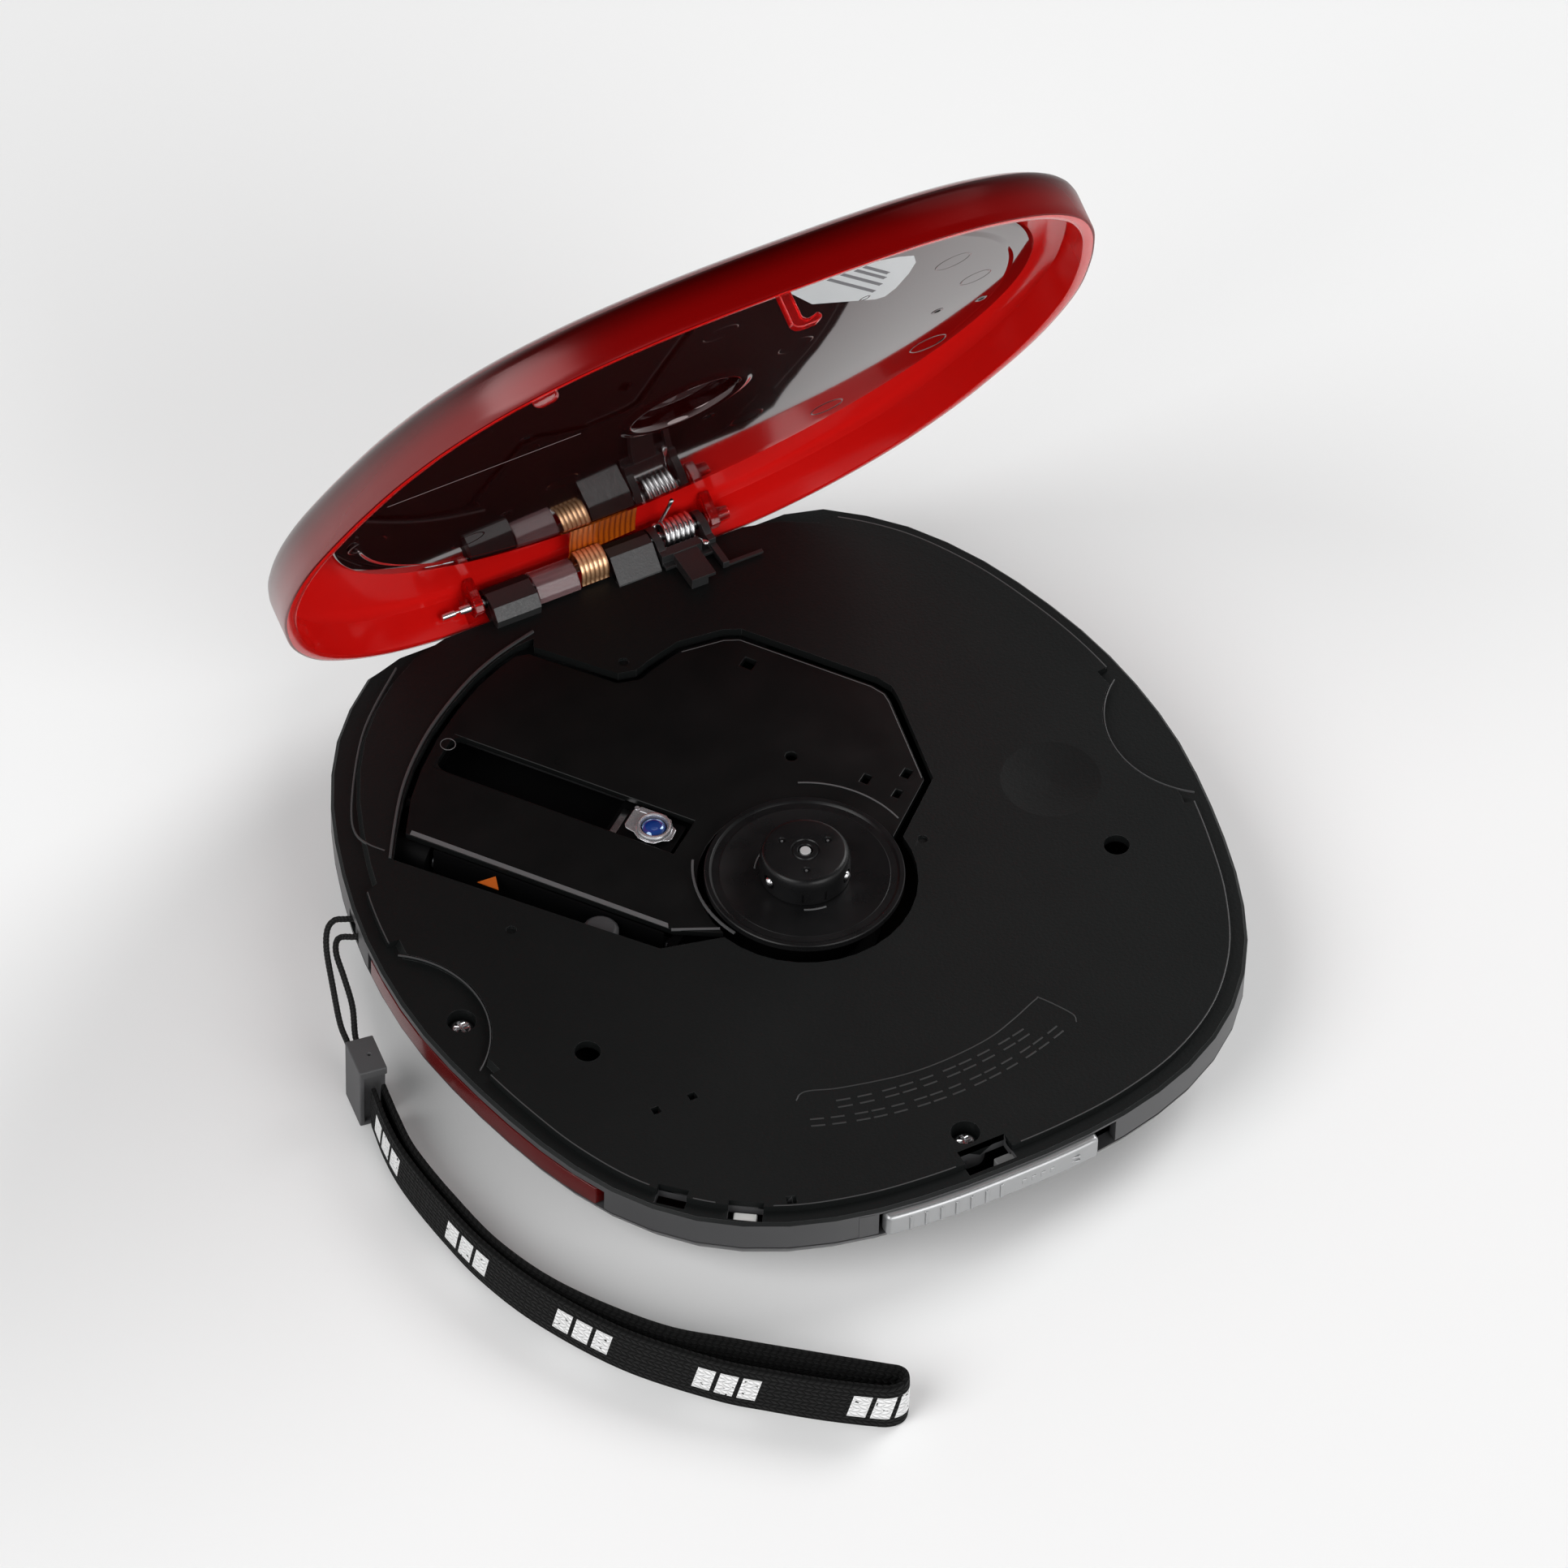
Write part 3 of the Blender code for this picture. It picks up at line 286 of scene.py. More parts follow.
def spline(p0, p1, p2, p3, t):
    """A Catmull-Rom curve's point between p1 and p2."""
    return 0.5 * (2 * p1 + (p2 - p0) * t + (2 * p0 - 5 * p1 + 4 * p2 - p3) * t * t
                  + (3 * p1 - p0 - 3 * p2 + p3) * t * t * t)


def smooth_path(points, per_span):
    """Points along a smooth open curve through the given ones."""
    given = [Vector(p) for p in points]
    padded = [2 * given[0] - given[1]] + given + [2 * given[-1] - given[-2]]
    path = [spline(*padded[i - 1:i + 3], k / per_span)
            for i in range(1, len(padded) - 2) for k in range(per_span)]
    return path + [given[-1]]


def line_through(points, per_span=6):
    """(x, y) points on a smooth curve through the given ones."""
    return [(p.x, p.y) for p in smooth_path([(*p, 0.0) for p in points], per_span)]


def even_path(path, step):
    """The same line with points a given distance apart, and its length."""
    run = [0.0]
    for a, b in zip(path, path[1:]):
        run.append(run[-1] + (b - a).length)
    count = max(int(run[-1] / step), 2)
    even, j = [], 0
    for i in range(count + 1):
        want = run[-1] * i / count
        while j < len(path) - 2 and run[j + 1] < want:
            j += 1
        part = (want - run[j]) / (run[j + 1] - run[j])
        even.append(path[j].lerp(path[j + 1], part))
    return even, run[-1]


# ---- meshes


def finished(name, bm, materials, sharp=35, lid=False):
    """An object from a bmesh drawn in millimetres, smooth except at sharp edges."""
    bmesh.ops.recalc_face_normals(bm, faces=bm.faces)
    bmesh.ops.scale(bm, vec=(MM, MM, MM), verts=bm.verts)
    mesh = bpy.data.meshes.new(name)
    bm.to_mesh(mesh)
    bm.free()
    if lid:
        mesh.transform(TO_OPEN)
    for made in materials if isinstance(materials, list) else [materials]:
        mesh.materials.append(made)
    mesh.shade_smooth()
    if sharp:
        mesh.set_sharp_from_angle(angle=math.radians(sharp))
    return linked(name, mesh)


def even_shading(ob):
    """Keep large faces looking flat up to their edges."""
    weigh = ob.modifiers.new("shading", "WEIGHTED_NORMAL")
    weigh.keep_sharp = False


def round_edges(ob, width, angle=30, segments=2):
    """Small rounded edges that catch the light."""
    bevel = ob.modifiers.new("edges", "BEVEL")
    bevel.width = width * MM
    bevel.segments = segments
    bevel.limit_method = "ANGLE"
    bevel.angle_limit = math.radians(angle)
    bevel.use_clamp_overlap = True
    even_shading(ob)


def shiny_edges(ob, material):
    """Give the rounded edges a material of their own; a bright one paints a highlight along them.
    """
    ob.data.materials.append(material)
    ob.modifiers["edges"].material = 1


def dress(name, material, edges=0.12, angle=30):
    """A better finish and small edge rounds for a CAD node whose shape is right."""
    ob = NODES[name]
    ob.data.materials.clear()
    ob.data.materials.append(material)
    ob.data.shade_smooth()
    weld = ob.modifiers.new("weld", "WELD")
    weld.merge_threshold = 1e-6
    if edges:
        round_edges(ob, edges, angle)
    else:
        even_shading(ob)
    return ob


def stands_for(ob, body, slot, *nodes):
    """Ride on the body and take the place of the CAD nodes."""
    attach(ob, body)
    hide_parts(*nodes)


def piece(name, bm, materials, sharp, body, slot, *nodes, lid=False, edges=None):
    """A finished object on its body; edges holds what round_edges needs."""
    ob = finished(name, bm, materials, sharp, lid)
    if edges:
        round_edges(ob, *edges)
    stands_for(ob, body, slot, *nodes)


def cut(ob, add, *shape, lid=False, **more):
    """Take a shape out of ob: add is one of the functions below, the rest is what it needs."""
    bm = bmesh.new()
    add(bm, *shape, **more)
    cutter = finished("cutter", bm, [], 0, lid)
    step = ob.modifiers.new("cut", "BOOLEAN")
    step.solver = "EXACT"
    step.object = cutter
    bpy.context.view_layer.update()
    seen = ob.evaluated_get(bpy.context.evaluated_depsgraph_get())
    mesh = bpy.data.meshes.new_from_object(seen)
    ob.modifiers.clear()
    old, ob.data = ob.data, mesh
    bpy.data.meshes.remove(old)
    bpy.data.objects.remove(cutter, do_unlink=True)
    ob.data.shade_smooth()
    ob.data.set_sharp_from_angle(angle=math.radians(35))


def add_rings(bm, rings, close=False, slot=0):
    """Skin over rings of (x, y, z), capped; close joins the last ring to the first instead.

    slot is one material slot, or a list of one for each row of faces.
    """
    rows = [[bm.verts.new(p) for p in points] for points in rings]
    pairs = list(zip(rows, rows[1:])) + ([(rows[-1], rows[0])] if close else [])
    slots = slot if isinstance(slot, list) else [slot] * len(pairs)
    for (low, high), used in zip(pairs, slots):
        for i in range(len(low)):
            j = (i + 1) % len(low)
            bm.faces.new((low[i], low[j], high[j], high[i])).material_index = used
    if not close:
        bm.faces.new(rows[0]).material_index = slots[0]
        bm.faces.new(rows[-1]).material_index = slots[-1]


def add_turned(bm, profile, centre=(0.0, 0.0), sides=96, close=False):
    """A solid of revolution about a vertical axis; close makes it a ring."""
    add_rings(bm, [[(x, y, z) for x, y in ring(r, sides, centre)] for r, z in profile], close)


def add_prism(bm, points, z0, z1, slot=0):
    add_rings(bm, [[(x, y, z0) for x, y in points], [(x, y, z1) for x, y in points]], slot=slot)


def add_box(bm, low, high, turn=0.0):
    """A box between two corners, turned about its centre by turn degrees about Z."""
    size = Vector(high) - Vector(low)
    place = (Matrix.Translation((Vector(low) + Vector(high)) / 2)
             @ Matrix.Rotation(math.radians(turn), 4, "Z") @ Matrix.Diagonal((*size, 1.0)))
    bmesh.ops.create_cube(bm, size=1.0, matrix=place)


def add_rod(bm, start, end, radius, sides=24, tip=None, slot=0):
    """A cylinder between two points, or a cone if its tip has another radius."""
    start, end = Vector(start), Vector(end)
    way = end - start
    place = (Matrix.Translation((start + end) / 2)
             @ way.to_track_quat("Z", "Y").to_matrix().to_4x4())
    made = bmesh.ops.create_cone(
        bm, cap_ends=True, segments=sides, radius1=radius,
        radius2=radius if tip is None else tip, depth=way.length, matrix=place,
    )
    for face in {f for v in made["verts"] for f in v.link_faces}:
        face.material_index = slot


def add_bead(bm, path, width, low, high, slot=0):
    """A moulded line: a low rounded ridge along (x, y) points, from low to high."""
    rings = []
    points = [Vector((*p, 0.0)) for p in path]
    for i, p in enumerate(points):
        way = (points[min(i + 1, len(points) - 1)] - points[max(i - 1, 0)]).normalized()
        side = Vector((way.y, -way.x, 0.0))
        rings.append([
            (p.x + side.x * u, p.y + side.y * u, z)
            for u, z in ((-width / 2, low), (width / 2, low), (width * 0.36, high - 0.03),
                         (width * 0.12, high), (-width * 0.12, high), (-width * 0.36, high - 0.03))
        ])
    add_rings(bm, rings, slot=slot)


def with_uv(name, rows, spots, material, sharp, lid=False):
    """A skin over rows of points, with each corner's place in a UV map in millimetres.

    spots(i, k) is the place of column k on row i; k may be one past the last column.
    """
    bm = bmesh.new()
    uv = bm.loops.layers.uv.new("along")
    rows = [[bm.verts.new(p) for p in row] for row in rows]
    count = len(rows[0])
    for i in range(len(rows) - 1):
        for k in range(count):
            j = (k + 1) % count
            face = bm.faces.new((rows[i][k], rows[i][j], rows[i + 1][j], rows[i + 1][k]))
            corners = (spots(i, k), spots(i, k + 1), spots(i + 1, k + 1), spots(i + 1, k))
            for loop, spot in zip(face.loops, corners):
                loop[uv].uv = spot
    bm.faces.new(rows[0])
    bm.faces.new(rows[-1])
    return finished(name, bm, material, sharp, lid)


def sweep(name, path, section, material, upright=False, swell=None):
    """A closed section of (side, up) points drawn along a path.

    upright keeps the section's second axis vertical. swell(run, k, count) gives a factor for
    section point k at that distance along the path.
    """
    edge = [0.0]
    for a, b in zip(section, section[1:] + section[:1]):
        edge.append(edge[-1] + math.dist(a, b))
    frame_up = Vector((0, 0, 1))
    run, rows, runs = 0.0, [], []
    for i, p in enumerate(path):
        ahead = (path[min(i + 1, len(path) - 1)] - path[max(i - 1, 0)]).normalized()
        if i:
            run += (p - path[i - 1]).length
        if upright:
            side = Vector((ahead.y, -ahead.x, 0.0)).normalized()
            up = Vector((0, 0, 1))
        else:
            side = ahead.cross(frame_up).normalized()
            up = side.cross(ahead).normalized()
            frame_up = up
        row = []
        for k, (u, v) in enumerate(section):
            grow = swell(run, k, len(section)) if swell else 1.0
            row.append(p + side * u * grow + up * v * grow)
        rows.append(row)
        runs.append(run)
    return with_uv(name, rows, lambda i, k: (runs[i], edge[k]), material, 0)


# ---- outline of case and lid

HALF_OUTLINE = [
    (0.0, 82.2), (14.5, 81.6), (29.0, 79.0), (42.0, 73.0), (53.0, 63.0), (60.5, 50.6),
    (65.3, 37.6), (68.4, 25.0), (69.8, 12.3), (69.7, 0.0), (68.0, -12.0), (65.4, -23.8),
    (61.7, -35.6), (55.9, -46.9), (47.3, -56.3), (36.2, -62.8), (24.0, -66.4), (12.0, -67.9),
    (0.0, -68.2),
]  # right half, rear to front


def closed_outline(count):
    """The outline's points at equal distances."""
    left = [(-x, y) for x, y in HALF_OUTLINE[1:-1]]
    loop = [Vector((x, y, 0.0)) for x, y in HALF_OUTLINE[::-1] + left]
    fine = [spline(*(loop[(i + k) % len(loop)] for k in (-1, 0, 1, 2)), j / 24)
            for i in range(len(loop)) for j in range(24)]
    even = even_path(fine + [fine[0]], 0.05)[0]
    return [even[round(i * (len(even) - 1) / count)] for i in range(count)]


OUTLINE = closed_outline(240)


def egg(offset, scale=1.0):
    """The outline moved outwards by offset, or scaled about its middle."""
    points = []
    for i, p in enumerate(OUTLINE):
        way = OUTLINE[(i + 1) % len(OUTLINE)] - OUTLINE[i - 1]
        q = p + Vector((way.y, -way.x, 0.0)).normalized() * offset
        points.append((q.x * scale, MIDDLE_Y + (q.y - MIDDLE_Y) * scale))
    return points


# ---- shared finishes

DECK = surface("deck_grain", (0.0062, 0.0070, 0.0070), 0.46, specular=0.13, grain=(0.040, 0.55),
               mottle=(0.16, 16))
# Painted highlight: a lighter copy of the deck's plastic for the deck's low bars, where light
# catches them.
FAINT_HIGHLIGHT = surface("painted_faint_highlight", (0.034, 0.035, 0.035), 0.4, specular=0.3, grain=0.004, mottle=0.1)
# Painted highlight: a lighter copy of the deck's plastic for its moulded lines, where light catches
# them.
LINE_HIGHLIGHT = surface("painted_line_highlight", (0.052, 0.053, 0.054), 0.38, specular=0.4, grain=0.004, mottle=0.1)
# Painted highlight: a bright copy of the dark plastic for rounded edges, beads and small discs
# where light catches them.
EDGE_HIGHLIGHT = surface("painted_edge_highlight", (0.085, 0.086, 0.088), 0.34, specular=0.5, grain=0.004, mottle=0.1)
CASE = surface("case_satin", (0.058, 0.058, 0.060), 0.42, specular=0.45, grain=(0.006, 0.3),
               mottle=(0.15, 20))
# Near-black for black parts, and painted shade on the sheet and the motors under the mechanism
# plate.
INSIDE_BLACK_AND_SHADE = surface("inside_black_and_painted_shade", (0.0022, 0.0022, 0.0024), 0.6, specular=0.08, grain=0.01,
                 mottle=0.1)
GLOSS = surface("mech_gloss", (0.0046, 0.0050, 0.0050), 0.34, specular=0.17, grain=(0.003, 1.4),
                mottle=(0.5, 9))
STEEL = surface("steel_turned", (0.62, 0.62, 0.63), 0.24, 1.0, grain=0.002, mottle=(0.15, 2))
DARK_STEEL = surface("steel_dark", (0.12, 0.12, 0.125), 0.4, 0.8, grain=0.004, mottle=0.2)


# ---- strap

WEB_WIDE = 10.0
WEB_THICK = 1.1
CORD_R = 0.5
WEB_ROUTE = [
    (-78.9, -1.3), (-80.2, -8.5), (-80.6, -16.0), (-79.7, -27.0), (-77.9, -38.0), (-73.9, -50.0),
    (-66.4, -64.0), (-56.6, -75.8), (-50.0, -81.8), (-43.2, -87.4), (-37.0, -91.9), (-34.6, -93.3),
    (-32.4, -93.4), (-31.1, -92.2), (-31.4, -90.6), (-33.4, -88.9), (-40.4, -83.2), (-52.3, -73.4),
    (-61.2, -65.4), (-70.6, -51.8), (-75.6, -39.6), (-77.7, -28.0), (-78.8, -16.0), (-78.2, -8.5),
    (-77.1, -1.3),
]
CORD_ROUTE = [
    (-78.2, 7.8, 7.8), (-77.8, 10.4, 8.0), (-77.3, 13.9, 8.6), (-75.4, 20.2, 10.0),
    (-73.6, 26.0, 12.1), (-72.0, 28.9, 13.4), (-70.3, 29.8, 13.9), (-68.7, 29.4, 13.8),
    (-67.1, 28.9, 13.5), (-65.7, 28.2, 13.2), (-65.5, 26.8, 13.0), (-66.7, 25.9, 12.8),
    (-68.3, 26.2, 12.5), (-70.2, 27.4, 12.2), (-71.4, 26.9, 12.0), (-72.4, 24.8, 11.5),
    (-73.0, 20.9, 10.2), (-74.0, 16.0, 8.8), (-76.1, 10.8, 7.9), (-76.7, 7.8, 7.7),
]  # out of the connector, round the post in the wall, and back
MARKS_FIRST, MARKS_PITCH = 1.8, 25.0  # groups of printed bars along the tape
MARKS_LOW, MARKS_HIGH = 2.6, 7.7
MARKS_LONG, BAR_PITCH, BAR_SHARE, BAR_LEAN = 11.1, 3.7, 0.8, 0.22


def along_ribbon(tree):
    """The ribbon's UV socket, and its X and Y, in millimetres."""
    uv = tree.nodes.new("ShaderNodeUVMap")
    uv.uv_map = "along"
    parts = apart(tree, uv.outputs["UV"])
    return uv.outputs["UV"], parts["X"], parts["Y"]


def woven(name, colour, row, stitch, height, marked=False):
    """Flat braid: rows of slanted stitches that lean in turn, with white printed bars if marked."""
    made = surface(name, colour, 0.85, specular=0.1)
    tree = made.node_tree
    preset(principled(made), {"Sheen Weight": 0.02, "Sheen Roughness": 0.5})
    uv, u, v = along_ribbon(tree)

    def m(operation, *values):
        return maths(tree, operation, *values)

    rows = m("DIVIDE", v, row)
    index = m("FLOOR", rows)
    inside = m("FRACT", rows)
    lean = m("SUBTRACT", m("MULTIPLY", m("MODULO", index, 2), 2), 1)
    slant = m("MULTIPLY", lean, m("MULTIPLY", inside, 0.55))
    step = m("ADD", m("DIVIDE", u, stitch), slant)
    stagger = m("ADD", step, m("MULTIPLY", index, 0.37))
    bead = m("ABSOLUTE", m("SINE", m("MULTIPLY", stagger, math.pi)))
    crown = m("SINE", m("MULTIPLY", inside, math.pi))
    relief = m("MULTIPLY", m("POWER", bead, 0.7), m("POWER", crown, 0.6))
    bumped(made, relief, height)
    # Painted shade and highlight: the colour darkens in the hollows between the stitches and
    # lightens on their crowns.
    last = mixed(tree, relief, rgba(colour, 0.25), rgba(colour, 1.7))
    if marked:
        group = m("FRACT", m("DIVIDE", m("SUBTRACT", u, MARKS_FIRST), MARKS_PITCH))
        leaning = m("SUBTRACT", m("MULTIPLY", group, MARKS_PITCH), m("MULTIPLY", v, BAR_LEAN))
        bars = m("LESS_THAN", m("FRACT", m("DIVIDE", leaning, BAR_PITCH)), BAR_SHARE)
        span = m("MULTIPLY", m("LESS_THAN", leaning, MARKS_LONG), m("GREATER_THAN", leaning, 0.0))
        tall = m("MULTIPLY", m("GREATER_THAN", v, MARKS_LOW), m("LESS_THAN", v, MARKS_HIGH))
        printed = m("MULTIPLY", m("MULTIPLY", bars, span), tall)
        unworn = m("LESS_THAN", noise(tree, uv, 0.9, 5.0), 0.66)
        last = mixed(tree, m("MULTIPLY", printed, unworn), last, rgba((0.82, 0.82, 0.82)))
    tree.links.new(last, principled(made).inputs["Base Color"])
    return made


def strap():
    """Braided cord through the wall, moulded connector, and tubular tape standing on its edge."""
    path, length = even_path(smooth_path(CORD_ROUTE, 6), 0.2)
    braid = woven("cord_braid", (0.018, 0.018, 0.018), 0.5, 0.55, 0.08)
    cord = sweep(
        "strap_cord_braid", path, ring(CORD_R, 14), braid,
        swell=lambda run, k, n: 1.0 + 0.06 * math.sin(run * 9.0 + 2 * math.pi * k / n * 3),
    )
    stands_for(cord, "case", "cord_black", "strap_cord")

    bm = bmesh.new()
    add_box(bm, (-80.25, -0.4, FLOOR), (-75.55, 7.0, 12.0), -8)
    block = finished("strap_connector", bm, surface(
        "connector_rubber", (0.055, 0.055, 0.057), 0.62, grain=(0.02, 0.3), mottle=0.15))
    cut(block, add_rod, (-77.4, 3.2, 11.0), (-77.4, 3.2, 13.0), 0.25, 12)
    cut(block, add_box, (-80.0, -3.0, 0.0), (-76.1, 0.5, 10.4), -8)
    round_edges(block, 0.55, 50, 3)
    stands_for(block, "case", "block_rubber", "strap_block")

    path, tape = even_path(smooth_path([(*p, FLOOR + WEB_WIDE / 2) for p in WEB_ROUTE], 10), 0.35)
    section = []
    for t in angles(36):
        t -= math.pi / 2
        flat = math.copysign(abs(math.cos(t)) ** 0.35, math.cos(t)) * WEB_THICK / 2
        section.append((flat, math.sin(t) * (WEB_WIDE / 2 - 0.05)))
    weave = woven("tape_weave", (0.0042, 0.0042, 0.0042), 0.92, 1.15, 0.4, marked=True)
    web = sweep("strap_tape", path, section, weave, upright=True)
    stands_for(web, "case", "web_black", "strap_webbing")


# ---- lid

BUTTONS = [  # name, x, y, radius
    ("stop_button", -24.0, -41.0, 3.4), ("skip_back_button", -12.5, -44.0, 3.4),
    ("play_button", 0.0, -45.0, 4.4), ("skip_forward_button", 12.5, -44.0, 3.4),
    ("volume_down_button", 45.0, 33.0, 3.2), ("volume_up_button", 49.0, 23.0, 3.2),
]
OUTER = [  # height, offset and perhaps scale of each ring, from the lower edge to the top
    (17.3, -0.5), (17.42, -0.15), (17.7, 0.0), (19.0, 0.0), (21.5, 0.0), (23.4, 0.0),
    (24.3, -0.25), (25.0, -0.8), (25.6, -1.7), (26.1, -2.8), (26.9, -7.0), (27.9, -16.0),
    (28.7, 0.0, 0.55), (29.1, 0.0, 0.28), (29.2, 0.0, 0.06),
]
INNER = [
    (17.3, -1.9), (17.5, -2.2), (23.0, -2.4), (24.0, -3.3), (24.6, -5.2), (25.2, -8.6),
    (26.2, -17.0), (27.0, 0.0, 0.55), (27.5, 0.0, 0.28), (27.6, 0.0, 0.06),
]
OUTER_WALL, INNER_WALL = 7, 7  # how many of their faces' rows are wall, not top
TAB_PLACE, TAB_TURN = (-41.35, -56.9), math.radians(-34)


def faded(made, way, ends, values):
    """A number that drifts between two values as the way through an object runs between ends."""
    tree = made.node_tree
    along = tree.nodes.new("ShaderNodeVectorMath")
    along.operation = "DOT_PRODUCT"
    along.inputs[1].default_value = way
    place = tree.nodes.new("ShaderNodeTexCoord").outputs["Object"]
    tree.links.new(place, along.inputs[0])
    ends = (ends[0] * MM, ends[1] * MM)
    return ranged(tree, along.outputs["Value"], ends, values, "SMOOTHSTEP")


def satin_wall_painted_light():
    """The lid's wall: a painted sheen that grows towards its left end, and painted shade that
    deepens its colour towards its top edge.
    """
    made = surface("red_satin_painted_light", (0.155, 0.001, 0.001), 0.24, clear=0.12, ior=1.46,
                   grain=(0.003, 0.4), mottle=(0.12, 15))
    tree = made.node_tree
    shader = principled(made)
    side = (1.0, 0.0, 0.0)
    # Painted sheen: the specular level, and a paler specular tint, rise towards the wall's left
    # end.
    tree.links.new(faded(made, side, (-4.0, -64.0), (0.02, 0.85)),
                   shader.inputs["Specular IOR Level"])
    tint = mixed(tree, faded(made, side, (-15.0, -62.0), (0.0, 1.0)),
                 (1.0, 0.10, 0.10, 1.0), (1.0, 0.85, 0.85, 1.0))
    tree.links.new(tint, shader.inputs["Specular Tint"])
    lift = (0.0, math.sin(LID_OPEN), math.cos(LID_OPEN))  # the open lid's own way up
    start = HINGE_Y * lift[1] + HINGE_Z * lift[2] - HINGE_Z
    # Painted shade: the base colour darkens towards the wall's top edge.
    deep = mixed(tree, faded(made, lift, (start + 19.0, start + 25.4), (0.0, 1.0)),
                 shader.inputs["Base Color"].links[0].from_socket, (0.020, 0.0, 0.0, 1.0))
    tree.links.new(deep, shader.inputs["Base Color"])
    return made


def lid_shell():
    """Clear red cover, satin with painted sheen and shade on its outer wall, and painted dark
    behind its top.
    """
    # Painted light: the inner wall is a bright red and the outer wall a dark red, lit and shaded
    # copies of one plastic.
    inner_wall = surface("red_clear", (0.88, 0.010, 0.008), 0.12, clear=0.28, ior=1.46,
                         grain=(0.003, 5.0), mottle=(0.05, 12))
    top = surface("red_gloss", (0.20, 0.003, 0.003), 0.10, clear=0.6, ior=1.46, grain=(0.002, 6.0),
                  mottle=(0.05, 25))
    paint = surface("lid_paint", (0.012, 0.004, 0.004), 0.5, specular=0.2, grain=0.004, mottle=0.1)
    bm = bmesh.new()
    rings = [[(x, y, z) for x, y in egg(*shape)] for z, *shape in OUTER[::-1] + INNER]
    slots = [2] * (len(OUTER) - 1 - OUTER_WALL) + [1] * OUTER_WALL + [0] * INNER_WALL
    slots += [3] * (len(rings) - 1 - len(slots))
    add_rings(bm, rings, slot=slots)
    shell = finished("lid_cover", bm, [inner_wall, satin_wall_painted_light(), top, paint], 35, True)
    cut(shell, add_rod, *on_hinge(-22.6, 22.0), 3.0, 40, lid=True)
    cut(shell, add_box, (-18.3, -34.3, RIM + 5), (18.3, -19.7, RIM + 16), lid=True)
    for _, x, y, r in BUTTONS:
        cut(shell, add_rod, (x, y, RIM + 5), (x, y, RIM + 16), r + 0.35, 40, lid=True)
    stands_for(shell, "lid", "lid_red", "lid_shell")


def lid_lugs():
    """What hangs from the shell: hinge lugs and their cap, hook, tab and two ribs."""
    bm = bmesh.new()
    lug = [(74.5, 3.0), (74.3, 7.4), (78.4, 8.2), (78.5, 3.0), (77.4, 1.4), (75.2, 1.5)]
    for x0, x1 in ((-21.6, -19.9), (22.4, 24.2)):
        add_rings(bm, across_x(lug, x0, x1))
    add_rod(bm, *on_hinge(22.0, 26.9), 1.45, 32, tip=1.1)
    hook = ((-3.1, 7.9), (-3.1, -4.6), (-2.5, -5.3), (-1.6, -5.55), (0.8, -5.5), (1.9, -5.1),
            (2.1, -4.5), (1.6, -4.0), (0.7, -4.3), (-0.3, -4.5), (-1.0, -3.9), (-1.1, 7.9))
    add_rings(bm, [[(x, y, z + RIM) for x, z in hook] for y in (-66.5, -64.4)])
    tab = ((-2.1, 7.4), (-2.1, -0.1), (-1.7, -0.6), (-1.0, -0.85), (1.0, -0.85), (1.7, -0.6),
           (2.1, -0.1), (2.1, 7.4))
    cos, sin = math.cos(TAB_TURN), math.sin(TAB_TURN)
    add_rings(bm, [[(TAB_PLACE[0] + u * cos - v * sin, TAB_PLACE[1] + u * sin + v * cos, z + RIM)
                    for u, z in tab] for v in (-0.75, 0.75)])
    for x in (-3.4, 0.9):
        add_box(bm, (x - 0.25, -67.6, RIM + 1.0), (x + 0.25, -66.0, RIM + 6.4))
    red = surface("red_lug", (0.70, 0.010, 0.010), 0.08, clear=0.80, ior=1.46, grain=(0.002, 3.0),
                  mottle=0.05)
    lugs = finished("lid_lugs", bm, red, 35, True)
    round_edges(lugs, 0.25, 40, 3)
    cut(lugs, add_rod, *on_hinge(-23, 27), 1.15, 24, lid=True)
    round_edges(lugs, 0.2, 40, 2)
    stands_for(lugs, "lid", "lid_red")


